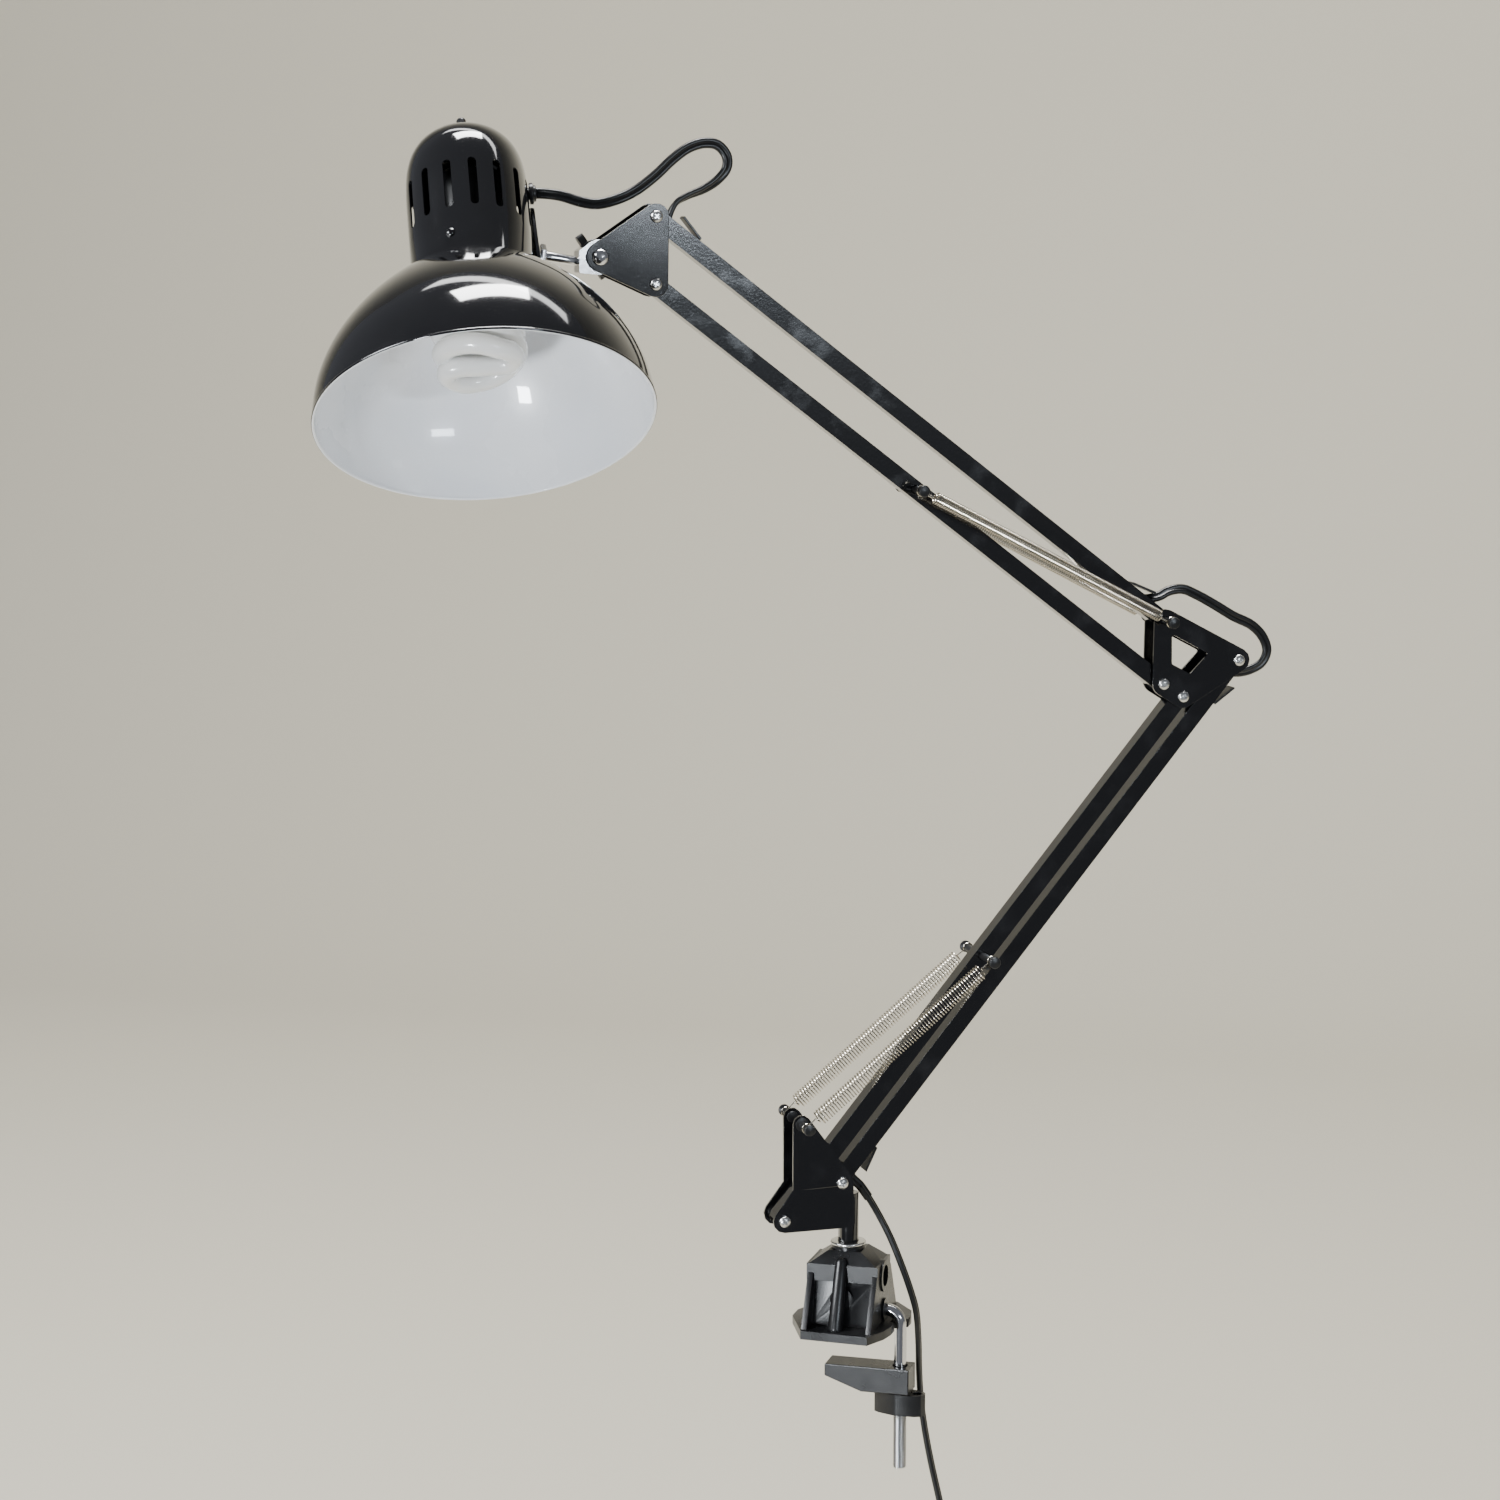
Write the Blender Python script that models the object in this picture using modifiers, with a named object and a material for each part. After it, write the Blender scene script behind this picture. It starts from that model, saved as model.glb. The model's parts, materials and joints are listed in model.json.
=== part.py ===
"""Swing arm desk lamp with a clamp foot, two sprung parallelogram arms and a bell shade.

Metres, +Z up. The origin is on the underside of the clamp's flange, under the swivel stem,
with +X out over the desk's edge and +Y along that edge. The arms stand in one upright plane
that is turned ARM_YAW about the stem; places in it are (s, z), out along the plane and up.
"""
import math

import bmesh
import bpy
from mathutils import Euler, Vector

# ---- driving dimensions, metres and degrees ------------------------------------------------
ARM_YAW = math.radians(31.7)
GAP = 0.0003                       # running gap between neighbouring pieces

TUBE = 0.010                       # outside width of the square arm tubes
TUBE_BORE = 0.0082
ARM_LENGTH = 0.383                 # pivot to pivot, both arms
LOWER_LIFT = math.radians(50.64)   # lower arm above the horizontal
UPPER_LIFT = math.radians(142.66)  # upper arm, measured the same way, so it leans back

BASE_FRONT = (-0.0417, 0.0680)     # lower pivot of the lower arm's front tube
BASE_LINK = (0.0347, 0.0203)       # from there to the rear tube's pivot
ELBOW_STEP = (-0.0124, 0.0078)     # from the front tube's top pivot to the upper arm's lower pivot
UPPER_LINK = (0.0005, 0.0370)      # from there to the top tube's pivot
TILT_PIVOT = (-0.1470, 0.6191)
BASE_PEG = (-0.0315, 0.1248)

PLATE = 0.0015
YOKE_HALF = 0.0105                 # arm plane to the outer face of a yoke plate
LINK_HALF = 0.0079                 # the same for elbow and head plates
LOBE = 0.0068

BOLT_R = 0.0020
BOLT_HOLE = 0.00238
COLLAR_R = 0.0040
PEG_R = 0.0022
PEG_HOLE = 0.0026
PEG_HEAD_R = 0.0034
LOWER_SPRING = (0.0050, 0.0210)    # outside radius, distance from the arm plane
UPPER_SPRING = (0.00365, 0.0177)
SPRING_WIRE_R = 0.0005

STEM_R = 0.0060
COLLAR_TOP = 0.0490
FLANGE = 0.0050
BOLT_X = 0.0314                    # the clamp bolt's upright axis
BOLT_SHANK_R = 0.0036
BOLT_THREAD_R = 0.0040
DESK_GAP = 0.0218                  # desk thickness that the jaws are set to
JAW_TOP = -DESK_GAP
JAW_BOTTOM = -0.0370
WING_TOP = -0.0376
WING_BOTTOM = -0.0500

SHADE_AT = (-0.2174, 0.6244)       # the shade's axis at the height of its rod
SHADE_SWIVEL = math.radians(-32.4)
SHADE_LEAN = math.radians(3.4)
MOUTH_R = 0.0917
MOUTH_H = -0.1063                  # heights along the shade's axis, from SHADE_AT
NECK_R = 0.0336
NECK_H = -0.0205
CAP_TOP = 0.0730
CAP_STRAIGHT = 0.0100
CAP_SQUARENESS = 5.0               # higher keeps the cap's shoulder fuller
BOWL_BULGE = 0.82                  # lower swells the bowl nearer its neck
SHEET = 0.0008
SLOT_COUNT = 15
SLOT_FIRST = math.radians(-97)
SLOT_H = (0.0065, 0.0365)
SLOT_WIDTH = 0.0046
RELIEF_H = 0.0315
RELIEF_TURN = math.radians(-14)
ROD_START = (-0.1585, 0.6166)
ROD_LIFT = math.radians(170)
ROD_LENGTH = 0.0222
ROD_R = 0.00275

CORD_R = 0.0022
CORD_SIDES = 2                     # bevel resolution of every cord

BODY_LEFT = -0.0200
BODY_RIGHT = 0.0215
RIB = 0.0032
SOCKET_Z = 0.0315
SOCKET_R = 0.0063
BOLT_Z = 0.0113
BOLT_BEND = 0.0080
NOTCH_HALF = 0.0046
SLOT_END = 0.020
HOOD = (0.0135, 0.0285, 0.0038, 0.0014)   # from the pivot: mouth and heel; mouth lift; sheet
INNER_START = 0.030                # the cord inside a tube starts this far from the pivot
TILT_BOLT_R = 0.0029
CAP_SCREW_TURN = math.radians(-122)
CAP_SCREW_H = -0.0095
SPIRAL_R = 0.0200
SPIRAL_TUBE = 0.0058
SPIRAL_TURNS = 1.25
SPIRAL_TOP = -0.0425
SPIRAL_TIP = -0.0742

ROUND = 24


# ---- places ---------------------------------------------------------------------------------
def step(start, angle, length):
    """The point at a distance from start in the arm plane."""
    return (start[0] + length * math.cos(angle), start[1] + length * math.sin(angle))


def add(first, second):
    return (first[0] + second[0], first[1] + second[1])


def in_plane(s, z, out=0.0):
    """World place of an arm plane point, out towards the near side of the lamp."""
    return Vector((s * math.cos(ARM_YAW) + out * math.sin(ARM_YAW),
                   s * math.sin(ARM_YAW) - out * math.cos(ARM_YAW), z))


def shade_point(radius, height, turn):
    """World place of a point on the shade, turn about its axis from the rod's side."""
    lean = Euler((SHADE_SWIVEL, SHADE_LEAN, ARM_YAW)).to_matrix()
    place = Vector((radius * math.cos(turn), radius * math.sin(turn), height))
    return in_plane(*SHADE_AT) + lean @ place


BASE_REAR = add(BASE_FRONT, BASE_LINK)
ELBOW_FRONT = step(BASE_FRONT, LOWER_LIFT, ARM_LENGTH)
ELBOW_REAR = add(ELBOW_FRONT, BASE_LINK)
ELBOW_LOW = add(ELBOW_FRONT, ELBOW_STEP)
ELBOW_HIGH = add(ELBOW_LOW, UPPER_LINK)
HEAD_LOW = step(ELBOW_LOW, UPPER_LIFT, ARM_LENGTH)
HEAD_HIGH = add(HEAD_LOW, UPPER_LINK)
LOWER_PEG = step(BASE_FRONT, LOWER_LIFT, ARM_LENGTH / 2)
UPPER_PEG = step(ELBOW_LOW, UPPER_LIFT, ARM_LENGTH / 2)


# ---- scene and helpers ----------------------------------------------------------------------
for old in list(bpy.data.objects):
    bpy.data.objects.remove(old, do_unlink=True)

lamp = bpy.data.collections.new("swing_arm_desk_lamp")
cutters = bpy.data.collections.new("cutters")
for group in (lamp, cutters):
    bpy.context.scene.collection.children.link(group)

FINISHES = {
    "black_gloss": ((0.012, 0.012, 0.013), 0.12, 0.0),
    "black_satin": ((0.018, 0.018, 0.019), 0.35, 0.0),
    "black_plastic": ((0.020, 0.020, 0.021), 0.45, 0.0),
    "chrome": ((0.75, 0.75, 0.76), 0.12, 1.0),
    "spring_steel": ((0.55, 0.53, 0.50), 0.28, 1.0),
    "bulb_white": ((0.86, 0.86, 0.84), 0.25, 0.0),
    "cord_black": ((0.016, 0.016, 0.016), 0.55, 0.0),
}


def finish(obj, kind):
    """Give the object its own material of the named finish."""
    colour, roughness, metallic = FINISHES[kind]
    mat = bpy.data.materials.new(obj.name)
    mat.use_nodes = True
    shader = mat.node_tree.nodes["Principled BSDF"]
    shader.inputs["Base Color"].default_value = (*colour, 1.0)
    shader.inputs["Roughness"].default_value = roughness
    shader.inputs["Metallic"].default_value = metallic
    obj.data.materials.append(mat)


def empty(name, place, turn=(0.0, 0.0, 0.0)):
    obj = bpy.data.objects.new(name, None)
    obj.location = place
    obj.rotation_euler = turn
    lamp.objects.link(obj)
    return obj


def arm_empty(name, at, lift=0.0):
    """An empty in the arm plane: local X along lift, local Y to the far side, local Z across."""
    return empty(name, in_plane(*at), (0.0, -lift, ARM_YAW))


def put(name, data, parent=None, place=(0, 0, 0), turn=(0, 0, 0), kind="black_satin", group=None):
    obj = bpy.data.objects.new(name, data)
    obj.location = place
    obj.rotation_euler = turn
    obj.parent = parent
    (group or lamp).objects.link(obj)
    if group is cutters:
        obj.hide_render = True
        obj.display_type = "WIRE"
    else:
        finish(obj, kind)
    return obj


def box_mesh(name, low, high, top_scale=(1.0, 1.0)):
    """A box between two corners; its top face may be narrower in X and Y."""
    bm = bmesh.new()
    bmesh.ops.create_cube(bm, size=1.0)
    centre = [(a + b) / 2 for a, b in zip(low, high)]
    size = [b - a for a, b in zip(low, high)]
    for vert in bm.verts:
        narrow = top_scale if vert.co.z > 0 else (1.0, 1.0)
        vert.co = Vector((centre[0] + vert.co.x * size[0] * narrow[0],
                          centre[1] + vert.co.y * size[1] * narrow[1],
                          centre[2] + vert.co.z * size[2]))
    return to_mesh(name, bm)


def to_mesh(name, bm):
    mesh = bpy.data.meshes.new(name)
    bm.to_mesh(mesh)
    bm.free()
    return mesh


def rod_mesh(name, radius, low, high, sides=ROUND):
    """A cylinder along local Z from low to high."""
    bm = bmesh.new()
    bmesh.ops.create_cone(bm, cap_ends=True, segments=sides, radius1=radius, radius2=radius,
                          depth=high - low)
    bmesh.ops.translate(bm, verts=bm.verts, vec=(0, 0, (low + high) / 2))
    mesh = to_mesh(name, bm)
    mesh.shade_smooth()
    mesh.set_sharp_from_angle(angle=math.radians(40))
    return mesh


def turned(name, profile, parent=None, place=(0, 0, 0), turn=(0, 0, 0), kind="chrome",
           sides=ROUND, wall=0.0, group=None):
    """A turned piece: (radius, height) points, listed top to bottom, screwed about local Z."""
    bm = bmesh.new()
    points = [bm.verts.new((radius, 0.0, height)) for radius, height in profile]
    for first, second in zip(points, points[1:]):
        bm.edges.new((first, second))
    obj = put(name, to_mesh(name, bm), parent, place, turn, kind, group)
    screw = obj.modifiers.new("turn", "SCREW")
    screw.steps = sides
    screw.render_steps = sides
    screw.use_merge_vertices = True
    screw.merge_threshold = 0.00001
    if wall:
        shell = obj.modifiers.new("wall", "SOLIDIFY")
        shell.thickness = wall
        shell.offset = -1.0
        shell.use_even_offset = True
    return obj


def cut(obj, cutter, operation="DIFFERENCE"):
    bool_mod = obj.modifiers.new(cutter.name, "BOOLEAN")
    bool_mod.operation = operation
    bool_mod.object = cutter
    bool_mod.solver = "EXACT"


def outline(circles, arc_points=4):
    """Points round a row of circles (x, z, radius), counter-clockwise, joined by tangents."""
    normals = []
    count = len(circles)
    for i, (x, z, radius) in enumerate(circles):
        x2, z2, radius2 = circles[(i + 1) % count]
        length = math.hypot(x2 - x, z2 - z)
        lean = (radius - radius2) / length
        along = ((x2 - x) / length, (z2 - z) / length)
        side = math.sqrt(1.0 - lean * lean)
        normals.append((along[1] * side + along[0] * lean, -along[0] * side + along[1] * lean))
    points = []
    for i, (x, z, radius) in enumerate(circles):
        start = math.atan2(normals[i - 1][1], normals[i - 1][0])
        end = math.atan2(normals[i][1], normals[i][0])
        sweep = (end - start) % (2 * math.pi)
        if radius <= 0.0 or sweep > math.pi:
            points.append((x, z))
            continue
        for k in range(arc_points + 1):
            angle = start + sweep * k / arc_points
            points.append((x + radius * math.cos(angle), z + radius * math.sin(angle)))
    return points


def circle_points(x, z, radius, count=10):
    return [(x + radius * math.cos(2 * math.pi * k / count),
             z + radius * math.sin(2 * math.pi * k / count)) for k in range(count)]


def flat_curve(name, rings, half):
    """A flat curve of closed rings, the first the outline and the rest its holes."""
    curve = bpy.data.curves.new(name, "CURVE")
    curve.dimensions = "2D"
    curve.fill_mode = "BOTH"
    curve.extrude = half
    for ring in rings:
        spline = curve.splines.new("POLY")
        spline.points.add(len(ring) - 1)
        for point, (x, z) in zip(spline.points, ring):
            point.co = (x, z, 0.0, 1.0)
        spline.use_cyclic_u = True
    return curve


def upright_plate(name, rings, half, parent, y, kind):
    """A flat plate that stands in its parent's XZ plane, its middle at local y."""
    return put(name, flat_curve(name, rings, half), parent, (0, y, 0), (math.pi / 2, 0, 0), kind)


def as_mesh(curve_obj, collection=None):
    """Turn a curve object into a welded mesh object, so that it can be cut or can cut."""
    bpy.context.view_layer.update()
    graph = bpy.context.evaluated_depsgraph_get()
    mesh = bpy.data.meshes.new_from_object(curve_obj.evaluated_get(graph))
    bm = bmesh.new()
    bm.from_mesh(mesh)
    bmesh.ops.remove_doubles(bm, verts=bm.verts, dist=0.000001)
    bm.to_mesh(mesh)
    bm.free()
    name = curve_obj.name
    world = curve_obj.matrix_world.copy()
    bpy.data.objects.remove(curve_obj, do_unlink=True)
    obj = bpy.data.objects.new(name, mesh)
    (collection or lamp).objects.link(obj)
    obj.matrix_world = world
    if collection is cutters:
        obj.hide_render = True
        obj.display_type = "WIRE"
    return obj


def wire(name, points, radius, kind, sides=2, parent=None, swell=None):
    """A round wire or cord through the points; swell gives each point's share of the radius."""
    curve = bpy.data.curves.new(name, "CURVE")
    curve.dimensions = "3D"
    curve.bevel_depth = radius
    curve.bevel_resolution = sides
    curve.use_fill_caps = True
    spline = curve.splines.new("POLY")
    spline.points.add(len(points) - 1)
    for i, (point, place) in enumerate(zip(spline.points, points)):
        point.co = (*place, 1.0)
        point.radius = swell[i] if swell else 1.0
    return put(name, curve, parent, kind=kind)


def smooth_route(points, spacing):
    """A centripetal curve through the points, read off at nearly even spacing."""
    pts = [Vector(p) for p in points]
    pts = [pts[0] * 2 - pts[1]] + pts + [pts[-1] * 2 - pts[-2]]
    fine = []
    for p0, p1, p2, p3 in zip(pts, pts[1:], pts[2:], pts[3:]):
        t1 = (p1 - p0).length ** 0.5
        t2 = t1 + (p2 - p1).length ** 0.5
        t3 = t2 + (p3 - p2).length ** 0.5
        for k in range(24):
            t = t1 + (t2 - t1) * k / 24
            a1 = p0 * ((t1 - t) / t1) + p1 * (t / t1)
            a2 = p1 * ((t2 - t) / (t2 - t1)) + p2 * ((t - t1) / (t2 - t1))
            a3 = p2 * ((t3 - t) / (t3 - t2)) + p3 * ((t - t2) / (t3 - t2))
            b1 = a1 * ((t2 - t) / t2) + a2 * (t / t2)
            b2 = a2 * ((t3 - t) / (t3 - t1)) + a3 * ((t - t1) / (t3 - t1))
            fine.append(b1 * ((t2 - t) / (t2 - t1)) + b2 * ((t - t1) / (t2 - t1)))
    fine.append(pts[-2])
    lengths = [0.0]
    for first, second in zip(fine, fine[1:]):
        lengths.append(lengths[-1] + (second - first).length)
    count = max(2, round(lengths[-1] / spacing))
    route = []
    place = 0
    for k in range(count + 1):
        want = lengths[-1] * k / count
        while place < len(lengths) - 2 and lengths[place + 1] < want:
            place += 1
        share = (want - lengths[place]) / (lengths[place + 1] - lengths[place])
        route.append(fine[place].lerp(fine[place + 1], min(1.0, share)))
    return route


# ---- clamp ----------------------------------------------------------------------------------


def build_clamp_body():
    """Cast foot: flange with a notch for the bolt, three ribs each side, head block and collar."""
    near = [(BODY_LEFT - 0.012, -0.006), (-0.0195, -0.0350), (0.0205, -0.0370), (0.0270, -0.0230),
            (0.0290, -0.0130), (0.0290, -NOTCH_HALF), (0.0260, -NOTCH_HALF)]
    far = [(0.0260, NOTCH_HALF), (0.0350, NOTCH_HALF), (0.0350, 0.0130), (0.0330, 0.0220),
           (0.0210, 0.0370), (-0.0195, 0.0350), (BODY_LEFT - 0.012, 0.006)]
    ring = near + far
    flange = put("clamp_body", flat_curve("clamp_body", [ring], FLANGE / 2),
                 place=(0, 0, FLANGE / 2), kind="black_plastic")
    body = as_mesh(flange)
    web = box_mesh("clamp_web", (BODY_LEFT + 0.001, -0.020, 0.002),
                   (BODY_RIGHT - 0.001, 0.020, 0.034), (1.0, 0.55))
    pieces = [("clamp_web", web)]
    for i, low in enumerate((BODY_LEFT, -RIB / 2 - 0.0005, BODY_RIGHT - RIB)):
        rib = box_mesh(f"clamp_rib_{i}", (low, -0.0335, 0.002), (low + RIB, 0.0335, 0.0345),
                       (1.0, 0.50))
        pieces.append((f"clamp_rib_{i}", rib))
    pieces.append(("clamp_head", box_mesh("clamp_head", (BODY_LEFT - 0.001, -0.0155, 0.0300),
                                          (BODY_RIGHT, 0.0155, 0.0400))))
    pieces.append(("clamp_shoulder", box_mesh("clamp_shoulder", (BODY_LEFT - 0.001, -0.0155, 0.0390),
                                              (BODY_RIGHT, 0.0155, 0.0470), (0.46, 0.62))))
    pieces.append(("clamp_collar", rod_mesh("clamp_collar", 0.0097, 0.0300, COLLAR_TOP)))
    for name, mesh in pieces:
        cut(body, put(name, mesh, group=cutters), "UNION")
    across = (0, math.pi / 2, 0)
    for name, mesh, place, turn in (
            ("clamp_post", rod_mesh("clamp_post", 0.0068, -0.0165, 0.0165), (0, 0, 0.0200),
             (math.pi / 2, 0, 0)),
            ("clamp_boss", rod_mesh("clamp_boss", 0.0094, 0.0190, 0.0225), (0, 0, SOCKET_Z), across),
            ("clamp_bolt_boss", rod_mesh("clamp_bolt_boss", 0.0066, 0.0190, 0.0227),
             (0, 0, BOLT_Z), across)):
        cut(body, put(name, mesh, None, place, turn, group=cutters), "UNION")
    stem_bore = rod_mesh("stem_bore", STEM_R + GAP, 0.0220, COLLAR_TOP + 0.002)
    cut(body, put("stem_bore", stem_bore, group=cutters))
    side_bore = rod_mesh("side_bore", SOCKET_R, 0.0085, 0.0300)
    cut(body, put("side_bore", side_bore, None, (0, 0, SOCKET_Z), across, group=cutters))
    bolt_bore = rod_mesh("bolt_bore", BOLT_SHANK_R + GAP, 0.0030, 0.0300, 16)
    cut(body, put("bolt_bore", bolt_bore, None, (0, 0, BOLT_Z), across, group=cutters))


def build_clamp_bolt():
    """Bolt bent like a J: level in the body, round the desk's edge and down through the jaw."""
    bend = (BOLT_X - BOLT_BEND, BOLT_Z - BOLT_BEND)
    shank = BOLT_SHANK_R / BOLT_THREAD_R
    points = [(0.0040, 0, BOLT_Z)]
    for k in range(7):
        angle = math.pi / 2 * (1 - k / 6)
        points.append((bend[0] + BOLT_BEND * math.cos(angle), 0,
                       bend[1] + BOLT_BEND * math.sin(angle)))
    swell = [shank] * len(points)
    for height, share in ((-0.0330, shank), (-0.0334, 1.0), (-0.0832, 1.0), (-0.0842, 0.78)):
        points.append((BOLT_X, 0, height))
        swell.append(share)
    wire("clamp_bolt", points, BOLT_THREAD_R, "chrome", 4, swell=swell)


def build_lower_jaw():
    """Block under the desk, thinner to its toe, that slides on the bolt."""
    ring = [(0.0385, JAW_TOP), (-0.0120, JAW_TOP), (-0.0120, -0.0290), (0.0100, JAW_BOTTOM),
            (0.0385, JAW_BOTTOM)]
    jaw = as_mesh(upright_plate("lower_jaw", [ring], 0.0088, None, 0.0, "black_plastic"))
    hole = rod_mesh("jaw_bore", BOLT_THREAD_R + 0.0004, -0.05, 0.0, 16)
    cut(jaw, put("jaw_bore", hole, None, (BOLT_X, 0, 0), group=cutters))


def build_clamp_wing_nut():
    """Flat wing nut with a finger hole in each ear."""
    ears = [(-0.0100, 0.0, 0.0058), (0.0, -0.0012, 0.0068), (0.0100, 0.0, 0.0058),
            (0.0, 0.0012, 0.0068)]
    rings = [outline(ears), circle_points(0, 0, BOLT_THREAD_R + 0.0004),
             circle_points(-0.0108, 0, 0.0027, 12), circle_points(0.0108, 0, 0.0027, 12)]
    height = (WING_TOP - WING_BOTTOM) / 2
    put("clamp_wing_nut", flat_curve("clamp_wing_nut", rings, height), None,
        (BOLT_X, 0, WING_TOP - height), (0, 0, math.radians(-8)), "black_plastic")


# ---- joints' fasteners ----------------------------------------------------------------------
def cross_bolt(name, parent, place, half, tube_half=TUBE / 2):
    """Screw, its collars beside the tube and its nut, turned as one about the pivot's axis."""
    inner = half - PLATE
    profile = [(0.0, half + 0.0024), (0.0022, half + 0.0022), (0.0034, half + 0.0012),
               (0.0034, half + GAP), (BOLT_R, half + GAP),
               (BOLT_R, inner - GAP), (COLLAR_R, inner - GAP),
               (COLLAR_R, tube_half + GAP), (BOLT_R, tube_half + GAP),
               (BOLT_R, -tube_half - GAP), (COLLAR_R, -tube_half - GAP),
               (COLLAR_R, -inner + GAP), (BOLT_R, -inner + GAP),
               (BOLT_R, -half - GAP), (0.0036, -half - GAP), (0.0036, -half - 0.0030),
               (BOLT_R, -half - 0.0032), (BOLT_R, -half - 0.0042), (0.0, -half - 0.0042)]
    return turned(name, profile, parent, place, (math.pi / 2, 0, 0), "chrome", 10)


def spring_peg(name, parent, place, reach, collars=0.0, kind="black_satin"):
    """Peg across the arm with a head at each end for the springs' hooks."""
    side = [(0.0, reach), (PEG_HEAD_R, reach - 0.0004), (PEG_HEAD_R, reach - 0.0022),
            (PEG_R, reach - 0.0026)]
    if collars:
        side += [(PEG_R, collars - GAP), (COLLAR_R, collars - GAP),
                 (COLLAR_R, TUBE / 2 + GAP), (PEG_R, TUBE / 2 + GAP)]
    profile = side + [(radius, -height) for radius, height in reversed(side)]
    return turned(name, profile, parent, place, (math.pi / 2, 0, 0), kind, 10)


def base_stud(name, frame, side):
    """Shouldered stud on one yoke plate for a lower spring's hook; the arm swings between both."""
    reach = LOWER_SPRING[1] + 0.0062
    inner = YOKE_HALF - PLATE
    profile = [(0.0, reach), (PEG_HEAD_R, reach - 0.0004), (PEG_HEAD_R, reach - 0.0022),
               (PEG_R, reach - 0.0026), (PEG_R, YOKE_HALF + 0.0014), (COLLAR_R, YOKE_HALF + 0.0014),
               (COLLAR_R, YOKE_HALF + GAP), (PEG_R, YOKE_HALF + GAP), (PEG_R, inner - GAP),
               (0.0034, inner - GAP), (0.0032, inner - 0.0010), (0.0, inner - 0.0012)]
    return turned(name, profile, frame, (BASE_PEG[0], 0, BASE_PEG[1]),
                  (side * math.pi / 2, 0, 0), "black_satin", 10)


def arm_tube(name, frame, peg=False, cord_ends=False):
    """Square tube between two pivots, its cheeks rounded about them; cord tubes open outside."""
    cheeks = [(0.0, 0.0, TUBE / 2), (ARM_LENGTH, 0.0, TUBE / 2)]
    tube = as_mesh(upright_plate(name, [outline(cheeks, 5)], TUBE / 2, frame, 0.0, "black_satin"))
    bore = TUBE_BORE / 2
    hollow = box_mesh(name + "_bore", (-0.02, -bore, -bore), (ARM_LENGTH + 0.02, bore, bore))
    cut(tube, put(name + "_bore", hollow, frame, group=cutters))
    holes = [(0.0, BOLT_HOLE), (ARM_LENGTH, BOLT_HOLE)]
    if peg:
        holes.append((ARM_LENGTH / 2, PEG_HOLE))
    for i, (x, radius) in enumerate(holes):
        mesh = rod_mesh(f"{name}_hole_{i}", radius, -0.02, 0.02, 8)
        cut(tube, put(f"{name}_hole_{i}", mesh, frame, (x, 0, 0), (math.pi / 2, 0, 0),
                      group=cutters))
    if cord_ends:
        for i, (low, high) in enumerate(((-0.02, SLOT_END), (ARM_LENGTH - SLOT_END,
                                                             ARM_LENGTH + 0.02))):
            mesh = box_mesh(f"{name}_slot_{i}", (low, -0.0032, -0.02), (high, 0.0032, -0.0035))
            cut(tube, put(f"{name}_slot_{i}", mesh, frame, group=cutters))


def cord_hood(name, frame, far_end):
    """Small sheet over a cord tube's slot, lifted at its mouth where the cord comes out."""
    start, end, lift, sheet = HOOD
    face = -TUBE / 2 - GAP
    ring = [(end, face), (start, face - lift), (start, face - lift - sheet), (end, face - sheet)]
    if far_end:
        ring = [(ARM_LENGTH - x, z) for x, z in reversed(ring)]
    upright_plate(name, [ring], 0.0045, frame, 0.0, "black_plastic")


def spring(name, start, end, size, side):
    """Plain sleeve for a coil spring, with a thin hook stem at each end."""
    radius, out = size
    first = in_plane(*start, side * out)
    last = in_plane(*end, side * out)
    along = (last - first).normalized()
    length = (last - first).length
    hook, neck = 0.0045, 0.0085
    places = (hook, neck - 0.001, neck, length - neck, length - neck + 0.001, length - hook)
    swell = [SPRING_WIRE_R / radius] * 2 + [1.0] * 2 + [SPRING_WIRE_R / radius] * 2
    wire(name, [first + along * d for d in places], radius, "spring_steel", 3, swell=swell)


# ---- yoke and arms --------------------------------------------------------------------------
def build_yoke():
    frame = arm_empty("yoke_frame", (0.0, 0.0))
    corner = (-0.0012, 0.0625, 0.001)
    circles = [(*BASE_FRONT, LOBE), corner, (*BASE_REAR, LOBE), (*BASE_PEG, 0.0052),
               (-0.0367, 0.0860, 0.0)]
    rings = [outline(circles)]
    rings += [circle_points(*at, BOLT_HOLE) for at in (BASE_FRONT, BASE_REAR)]
    rings.append(circle_points(*BASE_PEG, PEG_HOLE))
    middle = YOKE_HALF - PLATE / 2
    upright_plate("yoke_near_plate", rings, PLATE / 2, frame, -middle, "black_satin")
    upright_plate("yoke_far_plate", rings, PLATE / 2, frame, middle, "black_satin")
    stem = put("swivel_stem", rod_mesh("swivel_stem", STEM_R, 0.0225, 0.0800), frame,
               kind="black_satin")
    wide = YOKE_HALF - PLATE - GAP
    hub = box_mesh("stem_hub", (-0.0105, -wide, 0.0628), (0.0015, wide, 0.0785))
    cut(stem, put("stem_hub", hub, frame, group=cutters), "UNION")
    for name, at in (("base_bolt_front", BASE_FRONT), ("base_bolt_rear", BASE_REAR)):
        cross_bolt(name, frame, (at[0], 0, at[1]), YOKE_HALF)
    for label, side in (("near", 1), ("far", -1)):
        base_stud(f"base_spring_stud_{label}", frame, side)


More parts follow.
